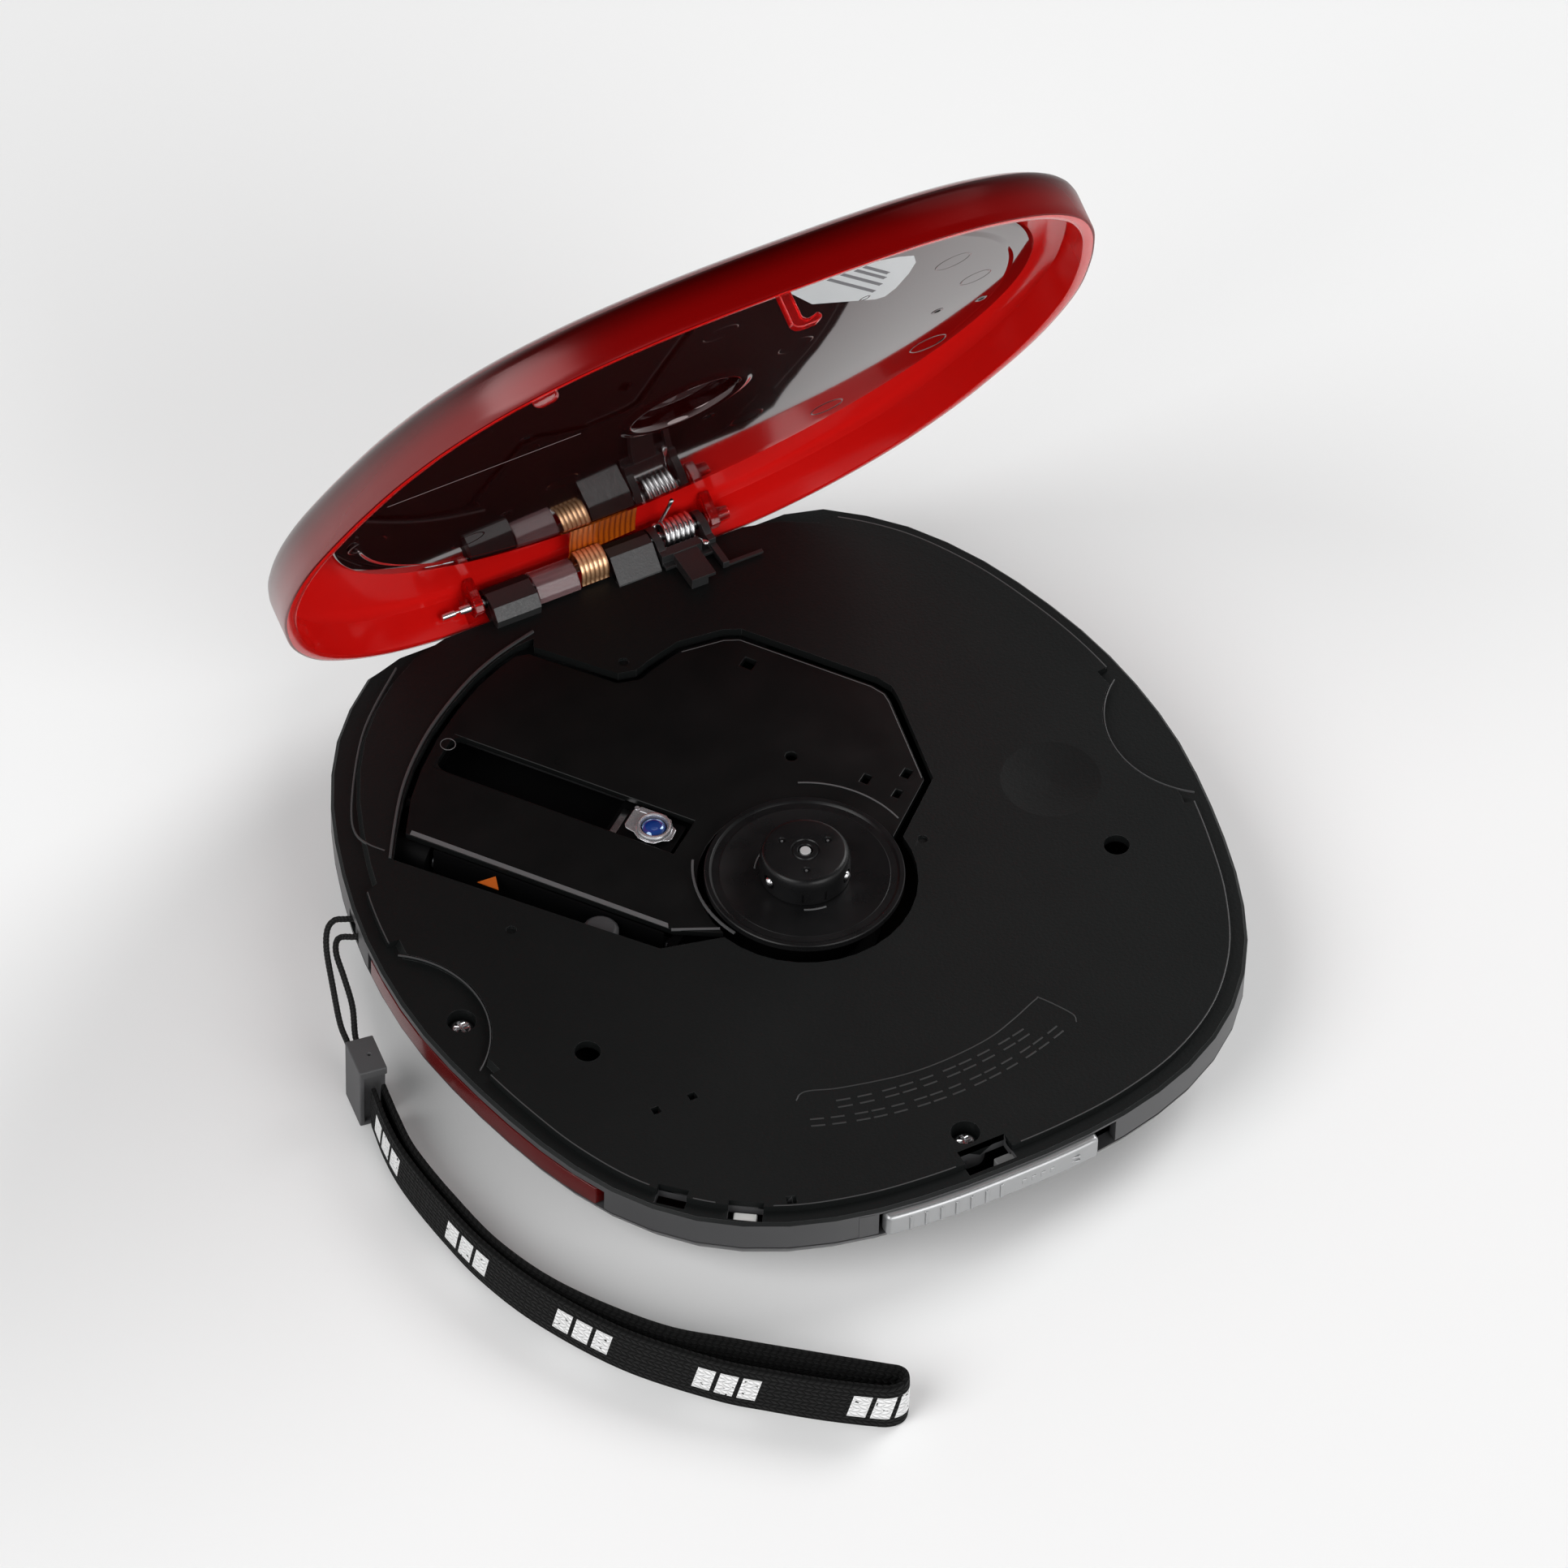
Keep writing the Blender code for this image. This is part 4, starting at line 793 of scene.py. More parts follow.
def lid_plate():
    """Polished smoked plate with the hub's cup, round bosses, small screws and a plain label."""
    low = RIM + 5.4
    mirror = surface("plate_mirror", (0.016, 0.0012, 0.0012), 0.03, specular=0.62, coat=0.35,
                     ior=1.55, grain=(0.0012, 4.5), mottle=(0.04, 30))
    preset(principled(mirror), {"Specular Tint": (1, 0.8, 0.8, 1)})
    bm = bmesh.new()
    face = raised(low, (9.4, 0.6), (9.5, -0.25), (9.8, -0.5), (10.3, -0.55), (10.9, -0.4),
                  (11.5, -0.06), (12.4, 0.0), (56.6, 0.0), (57.0, 0.05), (57.4, 0.35), (57.9, 0.4),
                  (60.7, 0.4), (61.2, 0.55), (61.5, 0.8))
    back = raised(RIM, (61.5, 6.6), (12.0, 6.6), (10.3, 9.3), (0.4, 9.3), (0.4, 8.4), (8.9, 8.4),
                  (9.2, 8.2))
    add_turned(bm, face + back, (0.0, 0.5), 180, close=True)
    piece("plate_polished", bm, mirror, 50, "lid", "plate_smoke", "lid_plate", lid=True)

    bm = bmesh.new()
    bosses = [
        (-44, -27, 3.0), (-17.5, -11.3, 3.0), (17, -11, 3.0), (41, -27.5, 3.0), (50, 20.5, 3.2),
        (49.5, -12, 2.6), (17.5, 24.5, 2.8), (-16.6, 22.2, 2.8), (-53, 16.5, 3.2), (-30, 38, 2.8),
        (36, 38, 2.8), (-3, -36, 3.0),
    ]
    for x, y, r in bosses:
        add_turned(bm, raised(low, (r - 0.24, 0.1), (r - 0.2, 0.01), (r, -0.045), (r + 0.2, 0.01),
                              (r + 0.24, 0.1)), (x, y + 0.5), 48, close=True)
    for x, y in ((25.8, -24.5), (46.2, 1.5), (8.0, 15.3), (-32, -14.5), (-25, 30), (55.0, 4)):
        add_turned(bm, raised(low, (0.55, 0.1), (0.55, -0.02), (0.8, -0.1), (1.1, -0.02),
                              (1.1, 0.1)), (x, y), 32, close=True)
        add_rod(bm, (x, y, low - 0.015), (x, y, low + 0.2), 0.6, 24, slot=1)
    add_bead(bm, [(-54, -3.0), (-20, -4.5)], 0.3, low + 0.05, low - 0.015)
    piece("plate_marks", bm, [mirror, INSIDE_BLACK_AND_SHADE], 60, "lid", "plate_smoke", lid=True)

    bm = bmesh.new()
    outline = [(4.6, -52.6), (6.6, -53.0), (27.0, -42.6), (30.3, -40.0), (31.9, -35.5),
               (32.2, -30.0), (31.6, -23.6), (30.4, -20.8), (28.6, -21.2), (14.0, -33.0),
               (4.0, -49.8)]
    add_prism(bm, outline, low - 0.05, low + 0.02)
    start, end = Vector((8.8, -48.6)), Vector((28.6, -21.2))
    way = (end - start).normalized()
    side = Vector((way.y, -way.x))
    for first, last, across in ((0.18, 0.86, 0.16), (0.22, 0.80, 0.34), (0.28, 0.72, 0.50),
                                (0.30, 0.66, 0.62)):
        base = start + side * across * 11.0
        add_bead(bm, [tuple(base + way * 33 * first), tuple(base + way * 33 * last)], 0.9,
                 low + 0.01, low - 0.07, slot=1)
    piece("plate_label", bm, [
        surface("label_film", (0.62, 0.64, 0.65), 0.35, grain=0.002, mottle=0.05),
        surface("label_bars", (0.16, 0.16, 0.17), 0.5, grain=0.002, mottle=0.1),
    ], 40, "lid", "switch_white", lid=True)


def lid_fittings():
    """Display, its window, the board behind the plate and the six keys."""
    dress("lid_board", surface("board_lid", (0.012, 0.07, 0.035), 0.35, coat=0.3,
                               grain=(0.01, 0.8), mottle=(0.3, 2)), 0.1)
    dress("lcd", surface("lcd_glass", (0.20, 0.235, 0.19), 0.25, specular=0.3, coat=0.1,
                         grain=0.002, mottle=(0.06, 10)), 0.15)
    dress("lcd_window", surface("window_clear", (0.86, 0.86, 0.86), 0.03, clear=1.0, ior=1.49,
                                grain=(0.001, 8), mottle=0.02), 0.35)
    metal = surface("key_brushed", (0.52, 0.52, 0.53), 0.28, 0.9, grain=(0.004, 0.5),
                    mottle=(0.12, 3))
    foot = RIM + 8.9
    for name, x, y, r in BUTTONS:
        top = RIM + 12.0 if y < -40 else RIM + 11.6
        bm = bmesh.new()
        stem = raised(foot, (1.6, 0.0), (1.6, 0.5), (r, 0.9))
        crown = raised(top, (r, -0.45), (r - 0.12, -0.2), (r - 0.35, -0.05), (r - 0.7, 0.0),
                       (r - 1.0, -0.05), (r * 0.4, -0.28), (0.2, -0.32))
        add_turned(bm, stem + crown, (x, y), 64)
        piece(name + "_cap", bm, metal, 50, name, "key_silver", name, lid=True)


# ---- hinge

KNUCKLE_BACK = [(76.3, 5.0), (77.7, 4.65), (78.5, 3.9), (78.75, 2.9), (78.3, 1.7), (77.3, 1.0)]
PIN_PROFILE = [  # x and radius
    (-27.2, 0.3), (-27.0, 0.55), (-24.7, 0.55), (-24.5, 0.3), (-24.0, 0.3), (-23.8, 0.65),
    (-22.9, 0.8), (-21.9, 0.8), (-21.7, 0.62), (-21.4, 0.62), (-21.2, 0.8), (-14.2, 0.8),
    (-13.9, 0.6),
]
COIL_R, WIRE_R, COIL_TURNS, COIL_START, COIL_LONG = 2.12, 0.45, 6, 13.6, 5.95
FLEX_LEFT, FLEX_RIGHT, FLEX_WIDE = -2.4, 2.6, 9.9
FLEX_HALF = 0.14  # half its thickness


def band(name, line, material, lid=False, bend=None, lean=0.0):
    """A thin ribbon along (y, z) points.

    bend is (run, x end): past that run the ribbon also widens to x end; lean is its drift
    towards -X for each millimetre past the same run.
    """
    run, runs, drifts, rows = 0.0, [], [], []
    for i, (y, z) in enumerate(line):
        ya, za = line[max(i - 1, 0)]
        yb, zb = line[min(i + 1, len(line) - 1)]
        if i:
            run += math.dist(line[i], line[i - 1])
        size = math.hypot(yb - ya, zb - za)
        ny, nz = -(zb - za) / size * FLEX_HALF, (yb - ya) / size * FLEX_HALF
        drift = lean * max(run - bend[0], 0.0) if bend else 0.0
        left = FLEX_LEFT - drift
        right = (bend[1] if bend and run >= bend[0] else FLEX_RIGHT) - drift
        rows.append([(left, y + ny, z + nz), (right, y + ny, z + nz),
                     (right, y - ny, z - nz), (left, y - ny, z - nz)])
        runs.append(run)
        drifts.append(drift)
    return with_uv(name, rows, lambda i, k: (rows[i][k % 4][0] + drifts[i], runs[i]),
                   material, 60, lid)


def strands(name, colour, dark, metallic, pitch):
    """Printed conductors that run along a flexible ribbon, with painted shade in the grooves
    between them.
    """
    made = surface(name, colour, 0.3, metallic, coat=0.4)
    tree = made.node_tree
    uv, u, _ = along_ribbon(tree)
    wave = maths(tree, "SINE", maths(tree, "MULTIPLY", u, math.pi / pitch))
    lift = maths(tree, "POWER", maths(tree, "ABSOLUTE", wave), 0.8)
    bumped(made, lift, 0.1)
    # Darker between the raised conductors: partly the ribbon's own pattern, partly painted shade in
    # the grooves. A slow noise varies it at random.
    drift = maths(tree, "ADD", noise(tree, uv, 1.6, 2.0), 0.5)
    tone = mixed(tree, maths(tree, "MULTIPLY", lift, drift), rgba(dark), rgba(colour))
    tree.links.new(tone, principled(made).inputs["Base Color"])
    return made


def hinge():
    """Pins, caps over the case's knuckles and clear guard."""
    cast = surface("hinge_cast", (0.020, 0.0205, 0.021), 0.42, specular=0.45, grain=(0.02, 0.3),
                   mottle=(0.2, 2))
    # The speckle is the cast's grain; its paleness is painted light for the upward slopes.
    speckled_lit_slope = surface("hinge_speckled_painted_light", (0.052, 0.053, 0.054), 0.45, specular=0.5,
                   grain=(0.045, 0.35), mottle=(0.9, 0.5))
    dress("hinge_rod", STEEL, 0.12)
    # Painted highlight: the bracket's rounded edges take the bright edge material.
    shiny_edges(dress("spring_bracket", cast, 0.22), EDGE_HIGHLIGHT)

    bm = bmesh.new()
    steep = [(70.7, 1.15), (70.8, 1.55), (74.3, 4.95), (76.3, 5.15), (76.3, 4.9), (73.0, 1.15)]
    blunt = [(71.6, 1.15), (71.5, 2.7), (73.1, 4.6), (76.3, 5.06), (76.3, 4.9), (73.0, 1.15)]
    for line, x0, x1 in ((blunt, -19.1, -10.9), (steep, 3.2, 11.2)):
        add_rings(bm, across_x(line, x0, x1))
    # Painted light: faces that slope up towards the front take the paler speckled material, lighter
    # because they face the light.
    bm.normal_update()
    for face in bm.faces:
        face.material_index = 1 if face.normal.y * face.normal.z < -0.2 else 0
    piece("knuckle_faces", bm, [cast, speckled_lit_slope], 35, "case", "deck_black", edges=(0.15, 30))

    bm = bmesh.new()
    add_rings(bm, [[(x, y, z) for y, z in ring(r, 32, HINGE)] for x, r in PIN_PROFILE])
    piece("hinge_pin_turned", bm, STEEL, 40, "case", "bright_steel", "hinge_pin")

    bm = bmesh.new()
    guard = [(72.8, 1.6), (73.0, 2.7), (74.5, 4.4), *KNUCKLE_BACK, (76.0, 0.9), (75.0, 0.8),
             (74.6, 1.6)]
    add_rings(bm, across_x(guard, -10.5, -2.8))
    clear = surface("guard_clear", (0.36, 0.22, 0.23), 0.20, clear=0.60, ior=1.45,
                    grain=(0.004, 0.8), mottle=(0.1, 3))
    sleeve = finished("hinge_guard", bm, clear)
    cut(sleeve, add_rod, *on_hinge(-12, 0), 1.15, 32)
    round_edges(sleeve, 0.18, 30, 2)
    stands_for(sleeve, "case", "sleeve_clear", "hinge_sleeve")


def spring():
    """Wound spring whose long end lies on the lid."""
    start = math.pi / 2 - LID_OPEN
    angle = COIL_TURNS * 2 * math.pi + start - math.radians(-120)
    steps = int(angle / (2 * math.pi) * 40)
    coil = [Vector((COIL_START + COIL_LONG * i / steps,
                    *polar(COIL_R, start - angle * i / steps, HINGE))) for i in range(steps + 1)]
    first, last = coil[0], coil[-1]
    tail = [Vector((19.55, last.y - 0.866 * d, last.z + 0.5 * d)) for d in (0.8, 2.2, 3.8, 5.4)]
    wound = sweep("spring_wound", coil + tail, ring(WIRE_R, 12), STEEL)
    stands_for(wound, "case", "bright_steel", "torsion_spring")
    up = Vector((0, -math.sin(start), math.cos(start)))
    leg = [Vector((13.55 + 0.07 * d, first.y, first.z)) + up * (13.0 - d)
           for d in (0.0, 2.2, 4.5, 6.8, 8.2, 10.2, 12.9)]
    stands_for(sweep("spring_leg", leg, ring(0.36, 12), STEEL), "lid", "bright_steel")


def ribbon():
    """The copper ribbon: bare strands round the hinge and a wider film on the lid."""
    line = [(73.35, RIM + 1.7)] + arc_points(2.9, 200, 70, 26, HINGE)
    lower = band("flex_strands", line,
                 strands("strands_bare", (0.95, 0.56, 0.30), (0.30, 0.10, 0.03), 0.75, 0.84))
    stands_for(lower, "case", "flex_copper", "flex_lower")
    wrap = arc_points(2.2, 20, 95, 15, HINGE)
    line = wrap + [(75.4, RIM + 5.75), (75.39, RIM + 5.75), (74.4, RIM + 5.9), (72.0, RIM + 6.22),
                   (69.0, RIM + 6.4), (66.0, RIM + 6.5), (62.4, RIM + 6.6)]
    widens = sum(math.dist(a, b) for a, b in zip(line[:len(wrap) + 1], line[1:len(wrap) + 2]))
    upper = band("flex_on_lid", line,
                 strands("strands_film", (0.62, 0.12, 0.005), (0.20, 0.022, 0.003), 0.05, 1.0),
                 True, bend=(widens - 0.02, FLEX_WIDE), lean=0.19)
    stands_for(upper, "lid", "flex_copper", "lid_flex")


# ---- case

DISH_AT, DISH_R = (46, 0.5), 8.3
LINES_TOP = PLATEAU - 0.05  # the deck's moulded lines start a little inside it
LINES_LOW = LINES_TOP - 0.2
BODY_RIGHT, BODY_FRONT = 90, -80  # past the outline, for areas with an open side
LEDGE_AREAS = (  # x0, x1, y0, y1
    (-BODY_RIGHT, BODY_RIGHT, BODY_FRONT, -13.5), (30, BODY_RIGHT, 16.5, 69),
    (-BODY_RIGHT, -40, 16.5, 31),
)
LEDGE_LINES = (
    (-BODY_RIGHT, -52.6, -50, -13.5), (-47.9, -44.4, -60, -40), (-38.2, -6.6, BODY_FRONT, -40),
    (2.7, BODY_RIGHT, BODY_FRONT, -13.5), *LEDGE_AREAS[1:],
)
LEDGE_HOLES = (  # x, y, half sizes and turn: peg, lid switch, tab and hook
    (-34.2, -59.2, 0.8, 0.8, -20), (-50.5, -49.5, 2.5, 1.45, -44), (-41.5, -57.5, 2.8, 1.45, -34),
    (-1.95, -64.75, 4.25, 2.15, 0),
)


def inside(area, offset):
    """The part of an offset outline that lies in the area, in order round its middle."""
    x0, x1, y0, y1 = area
    return sorted((p for p in egg(offset) if x0 < p[0] < x1 and y0 < p[1] < y1),
                  key=lambda p: math.atan2(p[1] - MIDDLE_Y, p[0]) % (2 * math.pi))


def deck():
    """Upper half of the case: band, crisp dish, and a step round the deck with its holes."""
    ob = dress("top_deck", DECK, 0.22, 25)
    # Painted highlight: the deck's rounded edges take the bright edge material.
    shiny_edges(ob, EDGE_HIGHLIGHT)
    ob.data.materials.append(CASE)
    for face in ob.data.polygons:
        x, y, z = (c / MM for c in face.center)
        if abs(face.normal.z) < 0.35 and z < RIM and math.hypot(x, y - MIDDLE_Y) > 66:
            face.material_index = 2
    for edge in ob.data.edges:
        ends = [ob.data.vertices[i].co / MM for i in edge.vertices]
        if all(abs(p.z - PLATEAU) < 0.05
               and abs(math.hypot(p.x - DISH_AT[0], p.y - DISH_AT[1]) - DISH_R) < 0.4
               for p in ends):
            edge.use_edge_sharp = True
    ob.modifiers["shading"].keep_sharp = True

    bm = bmesh.new()
    for area in LEDGE_AREAS:
        add_prism(bm, inside(area, -2.8) + inside(area, -5.6)[::-1], RIM - 0.3, PLATEAU + 0.012)
    lip = finished("deck_lip", bm, DECK)
    for x, y, half, deep, turn in LEDGE_HOLES:
        cut(lip, add_box, (x - half, y - deep, RIM - 1), (x + half, y + deep, RIM + 3), turn)
    stands_for(lip, "case", "deck_black")


def deck_bars():
    """Two curved rows of plain bars, framed by a thin panel line."""
    bm = bmesh.new()
    panel = line_through([(-23.8, -41.4), (-22.6, -40.5), (-20.8, -40.6), (-16.1, -42.3),
                          (-6.4, -44.4), (1.2, -44.8), (9.5, -44.0), (15.1, -42.3), (20.4, -40.2),
                          (21.4, -40.4), (24.2, -45.4), (24.0, -47.4)], 8)
    add_bead(bm, panel, 0.3, LINES_LOW, LINES_TOP + 0.13)
    for radius, y, first, count in ((68.4, 21.0, -104.2, 10), (64.2, 13.2, -110.5, 14)):
        for j in range(count):
            t = first + 3.0 * j + (0.5 if j % 3 == 2 else 0.0)
            for k in (-0.7, 0.7):
                add_bead(bm, arc_points(radius + k, t - 1.0, t + 1.0, 4, (-0.4, y)), 0.42,
                         LINES_LOW, LINES_TOP + 0.12)
    # The bars and panel line take the faint highlight material: painted highlight.
    piece("deck_bars", bm, FAINT_HIGHLIGHT, 50, "case", "deck_black")


def deck_mouldings():
    """Ridge and rail beside the hinge, the ledge's outline and the side arcs."""
    bm = bmesh.new()
    ridge = line_through([(-14.2, 68.3), (-19.0, 67.1), (-22.9, 65.9), (-27.9, 63.8), (-33.8, 60.4),
                          (-39.8, 56.2), (-45.5, 51.1), (-50.1, 45.9), (-54.5, 39.6),
                          (-57.9, 34.3)])
    add_bead(bm, ridge, 0.55, LINES_TOP - 0.3, LINES_TOP + 0.42)
    rail = line_through([(-38.0, 71.4), (-45.0, 65.4), (-50.0, 60.2), (-55.0, 53.0),
                         (-59.2, 45.6), (-60.4, 41.5), (-59.6, 38.6), (-57.9, 36.2)])
    clear_of_lid = []
    for x, y in rail:
        short = 3.1 - min(math.hypot(x - p.x, y - p.y) for p in OUTLINE)
        pull = 1 - max(short, 0.0) / math.hypot(x, y - MIDDLE_Y)
        clear_of_lid.append((x * pull, MIDDLE_Y + (y - MIDDLE_Y) * pull))
    add_bead(bm, clear_of_lid, 0.32, LINES_LOW, LINES_TOP + 0.16)
    for area in LEDGE_LINES:
        add_bead(bm, inside(area, -3.0), 0.3, LINES_TOP - 0.3, LINES_TOP + 0.1)
    for x, start, end in ((-76, -52.6, 55), (76, 232.6, 125)):
        add_bead(bm, arc_points(17.2, start, end, 30, (x, 1)), 0.22, LINES_LOW, LINES_TOP + 0.1)
    # The ridge, rail, ledge line and arcs take the line highlight material: painted highlight.
    piece("deck_mouldings", bm, LINE_HIGHLIGHT, 50, "case", "deck_black")


def case_pieces():
    """Lower half, battery door with its grips, red strip, feet and screws."""
    lower = dress("bottom_case", CASE, 0.2, 25)
    shiny_edges(lower, surface("case_edge", (0.05, 0.05, 0.051), 0.3, grain=0.003, mottle=0.1))
    dress("battery_door", CASE, 0.25)
    bm = bmesh.new()
    for i in range(7):
        add_box(bm, (-9 + 0.2 * i, -27 - 1.6 * i, -0.12), (9 - 0.2 * i, -26.3 - 1.6 * i, 0.1))
    piece("door_grips", bm, CASE, 30, "battery_door", "case_grey")
    dress("side_trim", surface("trim_translucent", (0.115, 0.003, 0.003), 0.18, clear=0.25,
                               ior=1.46, coat=0.2, grain=(0.002, 3), mottle=0.1), 0.3)
    rubber = surface("foot_rubber_dull", (0.022, 0.022, 0.023), 0.82, specular=0.25, grain=0.02,
                     mottle=(0.15, 3))
    for i in range(4):
        dress(f"foot_{i + 1}", rubber, 0.35)
    for name in ("deck_screw_left", "deck_screw_front"):
        dress(name, STEEL, 0.12)


def front_y(x, offset=1.3):
    """Where the front wall is at x, moved outwards by offset."""
    line = sorted(p for p in egg(offset) if p[1] < -50)
    for a, b in zip(line, line[1:]):
        if a[0] <= x <= b[0]:
            part = (x - a[0]) / (b[0] - a[0])
            return a[1] + (b[1] - a[1]) * part
    raise ValueError(x)


def front_strip(x0, x1, outer, inner, steps):
    """A closed strip along the front wall, between two offsets."""
    spots = [x0 + (x1 - x0) * i / steps for i in range(steps + 1)]
    return ([(x, front_y(x, outer)) for x in spots]
            + [(x, front_y(x, inner)) for x in spots[::-1]])


def latch():
    """Silver slider with moulded grips and plain bars, its bar, and the white lid switch."""
    satin = surface("slider_satin", (0.40, 0.405, 0.41), 0.38, 0.85, grain=(0.004, 0.35),
                    mottle=(0.12, 5))
    bm = bmesh.new()
    add_prism(bm, front_strip(-21.6, 16.4, 1.3, -1.1, 24), SPLIT + 0.15, RIM - 1.0)
    piece("slider_bar", bm, satin, 35, "open_latch", "slider_silver", "open_slider",
          edges=(0.75, 45, 4))
    bm = bmesh.new()
    add_prism(bm, front_strip(-25.6, -22.6, 0.0, -1.6, 4), SPLIT, RIM - 0.85)
    piece("slider_stop", bm, CASE, 35, "case", "deck_black")

    marks = [(-17.7 + 2.66 * i, 0.32, 0.22, 0.5, 12.2, 15.2) for i in range(7)]
    marks += [(2.4 + 1.7 * i, wide / 2, 0.12, 0.4, 13.2, 14.3)
              for i, wide in enumerate((0.9, 0.8, 0.9, 0.8))]
    marks += [(11.6, 1.1, 0.12, 0.4, 13.75 + rise - 0.15, 13.75 + rise + 0.15)
              for rise in (0.5, -0.5)]
    bm = bmesh.new()
    for x, half, deep, proud, low, high in marks:
        y = front_y(x)
        add_box(bm, (x - half, y - deep, low), (x + half, y + proud, high), -x * 0.9)
    piece("slider_grips", bm, satin, 30, "open_latch", "slider_silver", edges=(0.12, 30, 2))
    dress("latch_bar", surface("latch_nylon", (0.22, 0.22, 0.22), 0.5, grain=0.006, mottle=0.1),
          0.2)
    dress("lid_switch", surface("switch_nylon", (0.72, 0.72, 0.70), 0.4, grain=0.006, mottle=0.06),
          0.25)


def power():
    """Cells, contacts, sockets, bass switch and the main board."""
    for name, finish, colour in (("battery_front", "cell_foil_blue", (0.05, 0.09, 0.20)),
                                 ("battery_rear", "cell_foil_grey", (0.20, 0.20, 0.22))):
        dress(name, surface(finish, colour, 0.3, 0.7, grain=0.002, mottle=0.1), 0.3)
    plated = surface("contact_plated", (0.6, 0.58, 0.52), 0.28, 1.0, grain=0.003, mottle=0.15)
    for name in ("contact_left", "contact_right"):
        dress(name, plated, 0.1)
    dress("main_board", surface("board_dark", (0.003, 0.012, 0.006), 0.45, specular=0.15,
                                grain=(0.01, 0.9), mottle=(0.3, 2)), 0.1)
    socket = surface("socket_black", (0.018, 0.018, 0.019), 0.4, grain=0.004, mottle=0.12)
    for name in ("headphone_jack", "dc_jack"):
        dress(name, socket, 0.2)
    bm = bmesh.new()
    for y, wall, r0, r1 in ((12.0, 67.2, 1.8, 2.75), (26.0, 65.8, 2.0, 2.75)):
        profile = ((wall - 0.6, r0 - 0.1), (wall + 0.1, r0), (wall + 0.18, r0 + 0.2),
                   (wall + 0.1, r1), (wall - 0.6, r1))
        add_rings(bm, [[(x, *p) for p in ring(r, 40, (y, 7.4))] for x, r in profile], close=True)
    piece("socket_rings", bm, STEEL, 35, "case", "bright_steel")
    dress("bass_switch", surface("knob_satin", (0.16, 0.16, 0.17), 0.42, grain=0.01, mottle=0.1),
          0.25)


# ---- mechanism

WELL = (1.6, 2.3)  # centre of the arcs moulded round the turntable
PLATTER_TOP = RIM + 2.63
HUB_TOP = RIM + 7.79
BALL_TURN, RIB_TURN, DIMPLE_TURN, DIMPLE_OUT = 309, 254, 124, 4.3
LENS_AT = mech(27.0, 0.0)


def mechanism():
    """Cover plate with its moulded lines, and what shows round it."""
    dress("mech_plate", GLOSS, 0.18, 30)
    top = RIM + 0.4
    bm = bmesh.new()
    # The strip along the plate's front edge and the beads on the plate take the bright edge
    # material: painted highlights.
    edge = mech_points((15.4, -19.0), (61.9, -19.0), (61.9, -18.3), (15.8, -18.3))
    add_rings(bm, [[(x, y, top - 0.05) for x, y in edge],
                   [(x, y, top + z) for (x, y), z in zip(edge, (0.0, 0.0, 0.28, 0.28))]])
    for line, width, low, high in (
        (arc_points(18.5, 203, 148, 16, WELL), 0.5, -0.1, 0.22),
        (arc_points(18.6, 66, 8, 18, WELL), 0.3, -0.1, 0.14),
        ([(-24.2, 0.4), (-17.1, -3.0)], 0.45, -0.1, 0.22),
        (arc_points(1.25, 0, 360, 20, (-37.8, 53.0)), 0.18, -0.05, 0.05),
        ([(5.9, 53.8), (13.3, 52.9), (15.7, 51.8), (30.0, 32.7), (31.1, 30.2), (31.0, 28.3),
          (27.7, 11.0)], 0.22, -0.1, 0.05),
    ):
        add_bead(bm, line, width, top + low, top + high)
    a, r = 62.9, 2.1
    for b, end in ((1.9, 90), (-1.9, -90)):
        corner = (a + r, b + r * math.sin(math.radians(end)))
        add_prism(bm, mech_points(corner, *arc_points(r, 0, end, 8, (a, b))), RIM - 0.78,
                  top - 0.01, slot=1)
    piece("plate_steps", bm, [EDGE_HIGHLIGHT, GLOSS], 40, "case", "mech_black")

    # A near-black sheet that fills the dark gap under the plate's edge and hides the feed screw:
    # painted shade.
    bm = bmesh.new()
    shade_sheet = mech_points((16, -19.55), (57.4, -19.55), (57.4, -19.15), (16, -19.15))
    add_prism(bm, shade_sheet, 11.0, RIM - 0.85)
    piece("mech_shade_sheet", bm, INSIDE_BLACK_AND_SHADE, 35, "case", "mech_black")

    # The motors are near-black as painted shade, since they sit in the dark under the plate; the
    # chassis is near-black too.
    for name in ("mech_chassis", "feed_motor", "spindle_motor"):
        dress(name, INSIDE_BLACK_AND_SHADE, 0.15)
    for name in ("feed_screw", "guide_rod_left", "guide_rod_right"):
        dress(name, DARK_STEEL, 0.1)
    dress("damper", surface("grommet_rubber", (0.040, 0.040, 0.042), 0.55, grain=0.006,
                            mottle=(0.2, 1.5)), 0.25)
    bm = bmesh.new()
    add_prism(bm, mech_points((45.9, -20.0), (48.0, -22.4), (44.2, -22.4)), RIM - 1.15, RIM - 1.0)
    orange = surface("flex_orange", (0.52, 0.11, 0.01), 0.4, coat=0.2, grain=0.003,
                     mottle=(0.2, 1))
    piece("flex_tongue", bm, orange, 35, "case", "flex_copper", "mech_flex")


